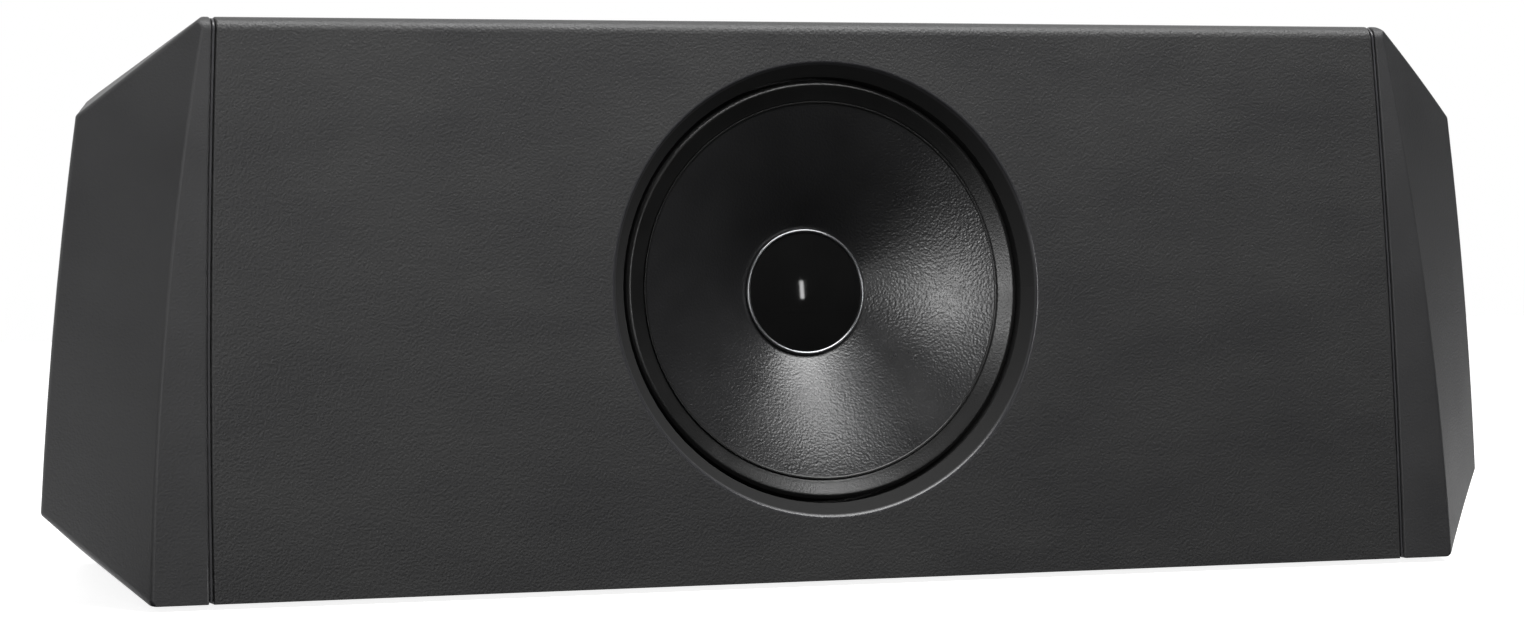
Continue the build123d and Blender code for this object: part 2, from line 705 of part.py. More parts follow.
def arc_circle():
    """Centre (radius, depth) and radius of the arc of the cone's front profile."""
    ax, ay = CONE_RADIUS, CONE_EDGE_DEPTH
    bx, by = NECK_RADIUS, CONE_NECK_DEPTH
    mx, my = (ax + bx) / 2, (ay + by) / 2
    chord = hypot(bx - ax, by - ay)
    radius = (chord * chord / 4 + CONE_BELLY * CONE_BELLY) / (2 * CONE_BELLY)
    away = (radius - CONE_BELLY) / chord
    return mx + (by - ay) * away, my - (bx - ax) * away, radius


def cone_depth(radius_at):
    """Depth of the cone's front face at a radius."""
    cx, cy, radius = arc_circle()
    return cy - (radius * radius - (radius_at - cx) ** 2) ** 0.5


def driver_gasket():
    """Foam ring between the basket's flange and the baffle's lip."""
    ring = tube(FLANGE_RADIUS - GASKET_INSET, HOLE_RADIUS + GASKET_INSET, LIP_THICKNESS, FLANGE_FRONT)
    for place in driver_screw_places():
        ring -= place * rod(SCREW_RADIUS + GASKET_INSET, 0, FLANGE_BACK)
    return on_driver(ring)


def driver_basket():
    """Cast frame: flange, six arms, spider ledge and the seat for the motor."""
    ledge_back = LEDGE_DEPTH + LEDGE_THICKNESS
    wall_outer = LEDGE_BORE + SEAT_WALL
    frame = turned(
        [
            (FLANGE_BORE, FLANGE_FRONT),
            (FLANGE_RADIUS, FLANGE_FRONT),
            (FLANGE_RADIUS, FLANGE_BACK),
            (FLANGE_BORE + ARM_THICKNESS, FLANGE_BACK),
            (LEDGE_RADIUS, ledge_back),
            (wall_outer, ledge_back),
            (wall_outer, SEAT_BACK),
            (SEAT_BORE, SEAT_BACK),
            (SEAT_BORE, SEAT_BACK - SEAT_THICKNESS),
            (LEDGE_BORE, SEAT_BACK - SEAT_THICKNESS),
            (LEDGE_BORE, LEDGE_DEPTH),
            (LEDGE_RADIUS - ARM_THICKNESS / 2, LEDGE_DEPTH),
            (FLANGE_BORE, FLANGE_BACK),
        ]
    )
    window_angle = 360 / ARM_COUNT - ARM_ANGLE
    window_outer = FLANGE_BORE + 2 * ARM_THICKNESS
    window = turned_sector(LEDGE_RADIUS, window_outer, FLANGE_BACK, ledge_back, window_angle)
    for index in range(ARM_COUNT):
        frame -= Rot(0, 0, 360 * index / ARM_COUNT) * window
    for place in driver_screw_places():
        frame -= place * rod(SCREW_RADIUS + SCREW_CLEARANCE, 0, 2 * FLANGE_BACK)
    return on_driver(frame)


def driver_screws():
    """Screws from behind, through flange and gasket into the baffle's lip."""
    one = screw(SCREW_RADIUS, SCREW_HEAD_RADIUS, SCREW_HEAD_HEIGHT, DRIVER_SCREW_LENGTH)
    seat = Pos(0, 0, FLANGE_BACK) * Rot(180, 0, 0)
    return on_driver(Compound([place * seat * one for place in driver_screw_places()]))


def cone():
    """Pressed cone with a slightly curved wall, from its edge to its neck on the former."""
    edge = (CONE_RADIUS, CONE_EDGE_DEPTH)
    middle = ((CONE_RADIUS + NECK_RADIUS) / 2, cone_depth((CONE_RADIUS + NECK_RADIUS) / 2))
    neck = (NECK_RADIUS, CONE_NECK_DEPTH)
    back = [(r, z + CONE_THICKNESS) for r, z in (neck, middle, edge)]
    outline = [
        ThreePointArc(edge, middle, neck),
        Line(neck, back[0]),
        ThreePointArc(*back),
        Line(back[2], edge),
    ]
    return on_driver(revolve(Plane.XZ * make_face(outline), Axis.Z))


RING_DEPTH = cone_depth(RING_RADIUS + RING_WIRE) - RING_WIRE


def cap_ring():
    """Bright wire ring that lies on the cone round the dust cap."""
    ring = Pos(0, 0, RING_DEPTH) * Torus(RING_RADIUS, RING_WIRE)
    return on_driver(ring)


def dust_cap():
    """Shallow dome inside the ring."""
    edge = RING_RADIUS - RING_WIRE - COIL_JOINT_GAP
    dome_radius = (edge * edge + CAP_DOME * CAP_DOME) / (2 * CAP_DOME)
    centre = RING_DEPTH - CAP_DOME + dome_radius
    half_angle = asin(edge / dome_radius)

    def on_dome(radius, share):
        angle = half_angle * share
        return radius * sin(angle), centre - radius * cos(angle)

    front = [on_dome(dome_radius, share) for share in (0, 0.5, 1)]
    back = [on_dome(dome_radius - CAP_THICKNESS, share) for share in (1, 0.5, 0)]
    outline = [
        ThreePointArc(*front),
        Line(front[2], back[0]),
        ThreePointArc(*back),
        Line(back[2], front[0]),
    ]
    return on_driver(revolve(Plane.XZ * make_face(outline), Axis.Z))


COIL_FRONT = SEAT_BACK - CONE_TRAVEL
COIL_BACK = TOP_PLATE_BACK + CONE_TRAVEL


def coil_former():
    """Thin tube glued in the cone's neck that carries the winding."""
    low = RING_DEPTH + CAP_THICKNESS + BOND_GAP
    return on_driver(tube(FORMER_RADIUS, FORMER_RADIUS - FORMER_WALL, low, COIL_BACK))


def voice_coil():
    """Winding on the former, longer than the gap it works in."""
    return on_driver(tube(COIL_OUTER, NECK_RADIUS, COIL_FRONT, COIL_BACK))


def top_plate():
    """Front pole plate of the motor, screwed to the basket's seat."""
    plate = tube(TOP_PLATE_RADIUS, COIL_OUTER + MAGNET_GAP, SEAT_BACK, TOP_PLATE_BACK)
    return on_driver(plate)


def magnet():
    """Ferrite ring between the two plates."""
    ring = tube(MAGNET_RADIUS, MAGNET_BORE, TOP_PLATE_BACK, MAGNET_BACK)
    rims = ring.edges().filter_by(GeomType.CIRCLE).group_by(SortBy.RADIUS)[-1]
    return on_driver(chamfer(rims, MAGNET_CHAMFER))


def pole_yoke():
    """Back plate with its vented pole, turned from one piece."""
    pole = FORMER_RADIUS - FORMER_WALL - POLE_GAP
    yoke = turned(
        [
            (POLE_VENT_RADIUS, SEAT_BACK),
            (pole, SEAT_BACK),
            (pole, MAGNET_BACK),
            (TOP_PLATE_RADIUS, MAGNET_BACK),
            (TOP_PLATE_RADIUS, YOKE_BACK),
            (POLE_VENT_RADIUS, YOKE_BACK),
        ]
    )
    return on_driver(yoke)


def surround():
    """Rubber roll: bonded behind the cone's edge, a ramp up to its crest, then down to the flange."""
    t = SURROUND_THICKNESS
    bond_in = CONE_RADIUS - SURROUND_BOND_WIDTH
    bond_back = CONE_THICKNESS + BOND_GAP
    valley_r = CONE_RADIUS + t
    valley_z = CONE_EDGE_DEPTH + SURROUND_VALLEY_DROP
    foot_r = HOLE_RADIUS - SURROUND_FOOT_GAP
    foot_front = FLANGE_FRONT - t
    leg_r = (SURROUND_CREST_RADIUS + foot_r) / 2
    front = [
        (bond_in, cone_depth(bond_in) + bond_back),
        (CONE_RADIUS, CONE_EDGE_DEPTH + bond_back),
        (valley_r, valley_z),
        (SURROUND_CREST_RADIUS, SURROUND_CREST_DEPTH),
        (leg_r + t / 2, foot_front),
        (foot_r, foot_front),
    ]
    back = [
        (foot_r, FLANGE_FRONT),
        (leg_r - t / 2, FLANGE_FRONT),
        (SURROUND_CREST_RADIUS - t / 2, SURROUND_CREST_DEPTH + 1.5 * t),
        (valley_r, valley_z + t),
        (bond_in, cone_depth(bond_in) + bond_back + t),
    ]
    face = make_face(Polyline(*front, *back, close=True))
    crest = face.vertices().sort_by_distance((SURROUND_CREST_RADIUS, SURROUND_CREST_DEPTH, 0))[0]
    face = fillet(crest, SURROUND_CREST_ROUND)
    return on_driver(revolve(Plane.XZ * face, Axis.Z))


def spider():
    """Corrugated disc that centres the former; its rim lies on the basket's ledge."""
    inner = FORMER_RADIUS + BOND_GAP
    rim = LEDGE_RADIUS - ARM_THICKNESS
    face_depth = LEDGE_DEPTH - SPIDER_THICKNESS
    flat_in = inner + SPIDER_NECK_WIDTH
    flat_out = LEDGE_BORE
    step = (flat_out - flat_in) / (2 * SPIDER_WAVES)
    front = [(inner, face_depth), (flat_in, face_depth)]
    for index in range(SPIDER_WAVES):
        start = flat_in + 2 * step * index
        front.append((start + step * 0.5, face_depth - SPIDER_WAVE_HEIGHT))
        front.append((start + step * 1.5, face_depth + SPIDER_WAVE_HEIGHT / 2))
    front += [(flat_out, face_depth), (rim, face_depth)]
    back = [(r, z + SPIDER_THICKNESS) for r, z in reversed(front)]
    return on_driver(turned(front + back))


def terminal_strip():
    """Insulating strip on the back of the ledge that holds the driver's tabs."""
    depth = LEDGE_DEPTH + LEDGE_THICKNESS
    start = LEDGE_RADIUS - STRIP_OVERLAP
    plate = Box(STRIP_WIDTH, STRIP_LENGTH, STRIP_THICKNESS, align=(Align.CENTER, Align.MIN, Align.MIN))
    return on_driver(Pos(0, start, depth) * plate)


def strip_tabs():
    """Two push-on tabs that stand on the strip."""
    depth = LEDGE_DEPTH + LEDGE_THICKNESS + STRIP_THICKNESS
    place_y = LEDGE_RADIUS - STRIP_OVERLAP + STRIP_LENGTH - TAB_WIDTH
    tab = Box(TAB_THICKNESS, TAB_WIDTH, STRIP_TAB_HEIGHT, align=(Align.MIN, Align.CENTER, Align.MIN))
    tab += Box(STRIP_TAB_FOOT, TAB_WIDTH, TAB_THICKNESS, align=(Align.MIN, Align.CENTER, Align.MIN))
    places = (-STRIP_WIDTH / 4, STRIP_WIDTH / 4)
    return on_driver(Compound([Pos(x, place_y, depth) * tab for x in places]))


def damping_wad(side):
    """Block of damping fibre between the driver and an end panel."""
    near = FLANGE_RADIUS + WAD_FROM_DRIVER
    far = PANEL_IN_X - SCREW_HEAD_HEIGHT - PANEL_CLEARANCE
    low = INNER_LOW_Z + PANEL_CLEARANCE
    back = REAR_IN_Y - BATTEN_SIZE - WAD_CLEARANCE
    high = inner_top_z(back) - WAD_CLEARANCE
    front = front_y(high) + BAFFLE_STEP + WAD_CLEARANCE
    block = Box(far - near, back - front, high - low, align=(Align.MIN, Align.MIN, Align.MIN))
    block = chamfer(block.edges().filter_by(Axis.X), WAD_ROUND)
    return for_side(Pos(near, front, low) * block, side)


def foot(x, y):
    """Low rubber pad under the cabinet."""
    pad = rod(FOOT_RADIUS, 0, FOOT_HEIGHT)
    pad = fillet(pad.edges().group_by(Axis.Z)[0], FOOT_EDGE_ROUND)
    return Pos(x, y, 0) * pad


def all_parts():
    """Every piece of the speaker under its name."""
    parts = {
        "cabinet_wrap": cabinet_wrap(),
        "end_cap_screws": end_cap_screws(),
        "rear_panel": rear_panel(),
        "top_batten": batten(TOP_BATTEN_Z, TOP_Z),
        "bottom_batten": batten(INNER_LOW_Z, INNER_LOW_Z + BATTEN_SIZE),
        "rear_panel_screws": rear_panel_screws(),
        "terminal_cup": terminal_cup(),
        "terminal_cup_screws": terminal_cup_screws(),
        "terminal_studs": terminal_studs(),
        "solder_tabs": solder_tabs(),
        "terminal_nuts": terminal_nuts(),
        "driver_gasket": driver_gasket(),
        "driver_basket": driver_basket(),
        "driver_screws": driver_screws(),
        "cone": cone(),
        "cap_ring": cap_ring(),
        "dust_cap": dust_cap(),
        "coil_former": coil_former(),
        "voice_coil": voice_coil(),
        "top_plate": top_plate(),
        "magnet": magnet(),
        "pole_yoke": pole_yoke(),
        "surround": surround(),
        "spider": spider(),
        "terminal_strip": terminal_strip(),
        "strip_tabs": strip_tabs(),
    }
    for name, side in SIDES.items():
        parts[f"{name}_end_panel"] = end_panel(side)
        parts[f"{name}_end_cap"] = end_cap(side)
        parts[f"{name}_seam_gasket"] = seam_gasket(side)
        parts[f"{name}_damping_wad"] = damping_wad(side)
        x = side * (SEAM_HALF_BOTTOM - FOOT_FROM_SEAM)
        parts[f"front_{name}_foot"] = foot(x, FRONT_Y + FOOT_FROM_FRONT)
        parts[f"back_{name}_foot"] = foot(x, BACK_Y - FOOT_FROM_BACK)
    for colour, x in POSTS.items():
        parts[f"{colour}_collar"] = terminal_collar(x)
        parts[f"{colour}_knob"] = clamp_knob(x)
    return parts


os.makedirs("parts", exist_ok=True)
for part_name, solid in all_parts().items():
    export_step(solid, f"parts/{part_name}.step")
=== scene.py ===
"""Looks of a center channel loudspeaker: one driver in a vinyl-covered cabinet with moulded end caps.

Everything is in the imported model's own frame, in metres: the front faces -Y, up is +Z, and the
speaker stands on Z = 0. Values whose name ends in _MM are millimetres.
"""

import json
import math

import bmesh
import bpy
from mathutils import Matrix, Vector, noise


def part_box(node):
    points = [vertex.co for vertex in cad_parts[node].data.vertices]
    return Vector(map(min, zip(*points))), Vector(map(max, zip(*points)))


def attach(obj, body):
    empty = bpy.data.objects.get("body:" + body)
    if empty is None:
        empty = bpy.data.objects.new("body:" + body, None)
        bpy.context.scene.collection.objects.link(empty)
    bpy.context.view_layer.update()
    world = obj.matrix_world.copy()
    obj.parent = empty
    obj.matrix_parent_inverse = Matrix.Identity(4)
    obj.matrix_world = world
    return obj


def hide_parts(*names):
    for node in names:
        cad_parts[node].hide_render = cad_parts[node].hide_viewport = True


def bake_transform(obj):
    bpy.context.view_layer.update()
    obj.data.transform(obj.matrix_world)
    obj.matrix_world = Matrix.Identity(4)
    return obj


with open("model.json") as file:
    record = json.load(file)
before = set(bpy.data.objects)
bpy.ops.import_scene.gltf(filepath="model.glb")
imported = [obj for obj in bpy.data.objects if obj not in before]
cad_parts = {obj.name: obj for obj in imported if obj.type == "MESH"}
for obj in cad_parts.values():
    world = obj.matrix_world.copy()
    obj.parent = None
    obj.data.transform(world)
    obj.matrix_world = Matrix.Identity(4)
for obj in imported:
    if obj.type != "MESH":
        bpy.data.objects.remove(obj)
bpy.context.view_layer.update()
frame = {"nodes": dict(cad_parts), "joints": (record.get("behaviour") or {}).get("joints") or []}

MM = 0.001

# Camera, found from the photograph's straight edges and from the ellipses of the driver

CAMERA_PLACE_MM = (-589.4, -1574.2, 167.5)
CAMERA_TURN = 20.674
CAMERA_TILT = -2.433
LENS_MM = 103.85
SENSOR_MM = 36.0

# Studio light: azimuth from the front towards +X, elevation above the floor, in degrees

LIGHT_CENTRE = Vector((0.0, -0.05, 0.11))
AMBIENT = 0.55
FLOOR_HALF = 1.8
FLOOR_GLOW = 0.85
FLAG_RADIUS = 3.2
FLAG_HEIGHT = 4.2
FLAG_FROM = -82
FLAG_TO = 118
FLAG_STEPS = 24
CARD_FROM_X = -0.36
CARD_FROM_Y = -0.088
CARD_RISE = 0.001

# Small shapes that only the looks need

# The mouth's near-black colour, black paint and painted shade in the recess, reaches this radius plus its
# edge.
MOUTH_RADIUS_MM = 83.2
MOUTH_PAINT_EDGE_MM = 0.6
PAINT_BLUR_MM = 0.3
# A band just inside the mouth's rim gets a lighter colour there: a painted highlight.
RIM_HIGHLIGHT_FROM_MM = 1.8
RIM_HIGHLIGHT_TO_MM = 1.1
PAINT_RELIEF = 0.15
SURROUND_THICK_MM = 0.8
CONE_THICK_MM = 1.0
BOND_GAP_MM = 0.3
CREST_INSET_MM = 2.2
CREST_LIFT_MM = 1.45
CAP_THICK_MM = 0.8
DOME_STEPS = 24
DOME_EDGE_STEP = 0.05
SPIDER_THICK_MM = 0.7
SPIDER_WAVES = 4
SPIDER_WAVE_MM = 1.4
SPIDER_WAVE_STEPS = 16
SPIDER_FLAT_SHARE = 0.09
SPIDER_RIM_FLATS = 1.6
LATHE_STEPS = 160
SCREW_STEPS = 32
SCREW_SEED = 7
SCREW_HEAD_SHARE = 0.6
RECESS_TAPER = 0.62
REAR_HEAD_MM = 4.0
CUP_HEAD_MM = 2.8
STUD_HEAD_MM = (4.4, 1.6)
STUD_HEAD_ROUND_MM = 0.4
STUD_TIP_MM = 0.5
STUD_CORE_MM = 2.7
THREAD_PITCH_MM = 0.8
THREAD_RIDGE_MM = 0.28
THREAD_STEPS = 28
POST_X_MM = (-18.0, 18.0)
WAD_STEP_MM = 5.0
WAD_LUMP_MM = 34.0
WAD_TUFT_MM = 9.0
WAD_TUFT_SHARE = 0.45
WAD_PULL_MM = 2.2
WAD_DEPTH_MM = 1.6
WAD_CORNER_MM = 9.0
WAD_CORNER_POWER = 6

# Section of the roll surround: steps of (radius, depth) from the cone's edge, the crest and the foot

BOND_DROP_MM = 1.1
ROLL_EDGE_MM = ((-1.4, 0.5), (-0.1, 0.25), (0.45, -0.3))
ROLL_VALLEY_MM = (0.6, -1.0)
RAMP_SHARES = (0, 0.3, 0.65, 1)
RAMP_TOP_MM = (-0.5, 0.08)
ROLL_CREST_MM = ((0.0, 0.02), (0.6, 0.5), (1.0, 1.5))
ROLL_FOOT_MM = (-0.9, -1.2)
FOOT_INSET_MM = 0.2
ROLL_STEPS = 5

# Span of a noise pattern that its colours and gloss are spread over

NOISE_LOW = 0.3
NOISE_HIGH = 0.7

# The driver's own frame: local Z runs into the cabinet from the middle of the bright ring

travel = next(joint for joint in frame["joints"] if joint["name"] == "cone_travel")
INWARD = -Vector(travel["axis"]).normalized()
ring_low, ring_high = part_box("cap_ring")
DRIVER_TURN = Vector((0, 0, 1)).rotation_difference(INWARD)
DRIVER = Matrix.Translation((ring_low + ring_high) / 2) @ DRIVER_TURN.to_matrix().to_4x4()
DRIVER_BACK = DRIVER.inverted()


def reach(node):
    """Least and greatest radius and depth of a node in the driver's frame."""
    local = [DRIVER_BACK @ vertex.co for vertex in frame["nodes"][node].data.vertices]
    radii = [math.hypot(p.x, p.y) for p in local]
    depths = [p.z for p in local]
    return min(radii), max(radii), min(depths), max(depths)


# Colour and node helpers

def linear(hex_code):
    """Turns an sRGB hex colour into the linear colour that shaders read."""
    shares = [int(hex_code[at:at + 2], 16) / 255 for at in (1, 3, 5)]
    return tuple(s / 12.92 if s <= 0.04045 else ((s + 0.055) / 1.055) ** 2.4 for s in shares) + (1.0,)


def per_mm(size_mm):
    """Scale of a pattern on Object coordinates whose features are this many millimetres across."""
    return 1.0 / (size_mm * MM)


def add_node(tree, kind, inputs=None, **settings):
    """Adds a node to a tree, sets its properties, and sets or links its inputs."""
    node = tree.nodes.new(kind)
    for name, value in settings.items():
        setattr(node, name, value)
    for socket, value in (inputs or {}).items():
        if isinstance(value, bpy.types.NodeSocket):
            tree.links.new(value, node.inputs[socket])
        else:
            node.inputs[socket].default_value = value
    return node


def new_finish(name):
    """Starts a material with an empty tree."""
    finish = bpy.data.materials.new(name)
    finish.use_nodes = True
    finish.node_tree.nodes.clear()
    return finish, finish.node_tree


# Families of finishes

def grained_finish(
    name, dark, light, mottle_mm, grain_mm, depth_mm, roughness, stretch=(1, 1, 1), **sockets
):
    """Moulded, pressed or coated surface: soft mottling in its colour and a pebbled relief."""
    finish, tree = new_finish(name)
    place = add_node(tree, "ShaderNodeTexCoord").outputs["Object"]
    drawn = add_node(tree, "ShaderNodeMapping", {"Vector": place, "Scale": stretch})
    mottle = add_node(
        tree, "ShaderNodeTexNoise",
        {"Vector": drawn.outputs["Vector"], "Scale": per_mm(mottle_mm),
         "Detail": 5.0, "Roughness": 0.62},
    )
    spread = add_node(
        tree, "ShaderNodeMapRange",
        {"Value": mottle.outputs["Fac"], "From Min": NOISE_LOW, "From Max": NOISE_HIGH},
    )
    colour = add_node(
        tree, "ShaderNodeMix",
        {0: spread.outputs["Result"], 6: linear(dark), 7: linear(light)},
        data_type="RGBA",
    )
    gloss = add_node(
        tree, "ShaderNodeMapRange",
        {"Value": mottle.outputs["Fac"], "From Min": NOISE_LOW, "From Max": NOISE_HIGH,
         "To Min": roughness[0], "To Max": roughness[1]},
    )
    pebbles = add_node(
        tree, "ShaderNodeTexVoronoi",
        {"Vector": place, "Scale": per_mm(grain_mm), "Smoothness": 0.7},
        feature="SMOOTH_F1",
    )
    pits = add_node(
        tree, "ShaderNodeTexNoise",
        {"Vector": place, "Scale": per_mm(grain_mm * 0.8), "Detail": 2.0},
    )
    height = add_node(
        tree, "ShaderNodeMath",
        {0: pits.outputs["Fac"], 1: pebbles.outputs["Distance"]},
        operation="SUBTRACT",
    )
    relief = add_node(
        tree, "ShaderNodeBump",
        {"Height": height.outputs["Value"], "Distance": depth_mm * MM, "Strength": 1.0},
    )
    shader = add_node(
        tree, "ShaderNodeBsdfPrincipled",
        {"Base Color": colour.outputs[2], "Roughness": gloss.outputs["Result"],
         "Normal": relief.outputs["Normal"], **sockets},
    )
    add_node(tree, "ShaderNodeOutputMaterial", {"Surface": shader.outputs["BSDF"]})
    return finish


def metal_finish(name, dark, light, roughness, streak_mm, stretch, depth_mm):
    """Bare or plated metal: fine streaks left by turning, rolling or plating."""
    finish, tree = new_finish(name)
    place = add_node(tree, "ShaderNodeTexCoord").outputs["Object"]
    drawn = add_node(tree, "ShaderNodeMapping", {"Vector": place, "Scale": stretch})
    streaks = add_node(
        tree, "ShaderNodeTexNoise",
        {"Vector": drawn.outputs["Vector"], "Scale": per_mm(streak_mm), "Detail": 4.0},
    )
    colour = add_node(
        tree, "ShaderNodeMix",
        {0: streaks.outputs["Fac"], 6: linear(dark), 7: linear(light)},
        data_type="RGBA",
    )
    gloss = add_node(
        tree, "ShaderNodeMapRange",
        {"Value": streaks.outputs["Fac"], "From Min": NOISE_LOW, "From Max": NOISE_HIGH,
         "To Min": roughness[0], "To Max": roughness[1]},
    )
    relief = add_node(
        tree, "ShaderNodeBump",
        {"Height": streaks.outputs["Fac"], "Distance": depth_mm * MM, "Strength": 1.0},
    )
    shader = add_node(
        tree, "ShaderNodeBsdfPrincipled",
        {"Base Color": colour.outputs[2], "Roughness": gloss.outputs["Result"],
         "Normal": relief.outputs["Normal"], "Metallic": 1.0},
    )
    add_node(tree, "ShaderNodeOutputMaterial", {"Surface": shader.outputs["BSDF"]})
    return finish


def woven_finish(name, dark, light, thread_mm, depth_mm, roughness):
    """Plain-woven cloth stiffened with resin: two sets of threads that cross."""
    finish, tree = new_finish(name)
    place = add_node(tree, "ShaderNodeTexCoord").outputs["Object"]
    threads = [
        add_node(
            tree, "ShaderNodeTexWave",
            {"Vector": place, "Scale": per_mm(thread_mm) / (2 * math.pi), "Distortion": 0.4},
            bands_direction=direction,
        )
        for direction in ("X", "Z")
    ]
    weave = add_node(
        tree, "ShaderNodeMath",
        {0: threads[0].outputs["Fac"], 1: threads[1].outputs["Fac"]},
        operation="MULTIPLY",
    )
    colour = add_node(
        tree, "ShaderNodeMix",
        {0: weave.outputs["Value"], 6: linear(dark), 7: linear(light)},
        data_type="RGBA",
    )
    relief = add_node(
        tree, "ShaderNodeBump",
        {"Height": weave.outputs["Value"], "Distance": depth_mm * MM, "Strength": 1.0},
    )
    shader = add_node(
        tree, "ShaderNodeBsdfPrincipled",
        {"Base Color": colour.outputs[2], "Roughness": roughness, "Normal": relief.outputs["Normal"]},
    )
    add_node(tree, "ShaderNodeOutputMaterial", {"Surface": shader.outputs["BSDF"]})
    return finish


def paint_mouth_shade_and_highlight(finish, colour, rim_highlight, flat, edge):
    """Paints the routed mouth, before the ring and inside the rim: near-black that is black paint and also
    painted shade in the recess, and a lighter, glossier line along the rim that is a painted highlight.
    """
    tree = finish.node_tree
    shader = next(node for node in tree.nodes if node.type == "BSDF_PRINCIPLED")
    place = add_node(tree, "ShaderNodeTexCoord").outputs["Object"]
    local = add_node(
        tree, "ShaderNodeMapping",
        {"Vector": place, "Location": DRIVER.translation, "Rotation": DRIVER_TURN.to_euler()},
        vector_type="TEXTURE",
    )
    across = add_node(
        tree, "ShaderNodeVectorMath", {0: local.outputs["Vector"], 1: (1, 1, 0)}, operation="MULTIPLY"
    )
    radius = add_node(tree, "ShaderNodeVectorMath", {0: across.outputs["Vector"]}, operation="LENGTH")
    rim = (MOUTH_RADIUS_MM + MOUTH_PAINT_EDGE_MM) * MM
    inside = add_node(
        tree, "ShaderNodeMapRange",
        {"Value": radius.outputs["Value"],
         "From Min": rim - PAINT_BLUR_MM * MM, "From Max": rim + PAINT_BLUR_MM * MM,
         "To Min": 1.0, "To Max": 0.0},
    )
    depth = add_node(tree, "ShaderNodeSeparateXYZ", {"Vector": local.outputs["Vector"]})
    before = add_node(tree, "ShaderNodeMath", {0: depth.outputs["Z"], 1: 0.0}, operation="LESS_THAN")
    # Mask of the near-black mouth: black paint that is also painted shade in the recess.
    paint_and_shade = add_node(
        tree, "ShaderNodeMath",
        {0: inside.outputs["Result"], 1: before.outputs["Value"]},
        operation="MULTIPLY",
    )
    # Band just inside the rim: a lighter colour, which is a painted highlight, and more gloss.
    highlight_band = add_node(
        tree, "ShaderNodeMapRange",
        {"Value": radius.outputs["Value"],
         "From Min": rim - RIM_HIGHLIGHT_FROM_MM * MM, "From Max": rim - RIM_HIGHLIGHT_TO_MM * MM},
    ).outputs["Result"]
    film_colour, film_gloss, film_relief = (
        shader.inputs[name].links[0].from_socket for name in ("Base Color", "Roughness", "Normal")
    )
    highlighted = add_node(
        tree, "ShaderNodeMix", {0: highlight_band, 6: linear(colour), 7: linear(rim_highlight)}, data_type="RGBA"
    )
    coloured = add_node(
        tree, "ShaderNodeMix",
        {0: paint_and_shade.outputs["Value"], 6: film_colour, 7: highlighted.outputs[2]},
        data_type="RGBA",
    )
    tree.links.new(coloured.outputs[2], shader.inputs["Base Color"])
    paint = add_node(tree, "ShaderNodeMix", {0: highlight_band, 2: flat, 3: edge})
    gloss = add_node(
        tree, "ShaderNodeMix", {0: paint_and_shade.outputs["Value"], 2: film_gloss, 3: paint.outputs[0]}
    )
    tree.links.new(gloss.outputs[0], shader.inputs["Roughness"])
    smooth = add_node(
        tree, "ShaderNodeMapRange",
        {"Value": paint_and_shade.outputs["Value"], "To Min": 1.0, "To Max": PAINT_RELIEF},
    )
    tree.links.new(smooth.outputs["Result"], film_relief.node.inputs["Strength"])


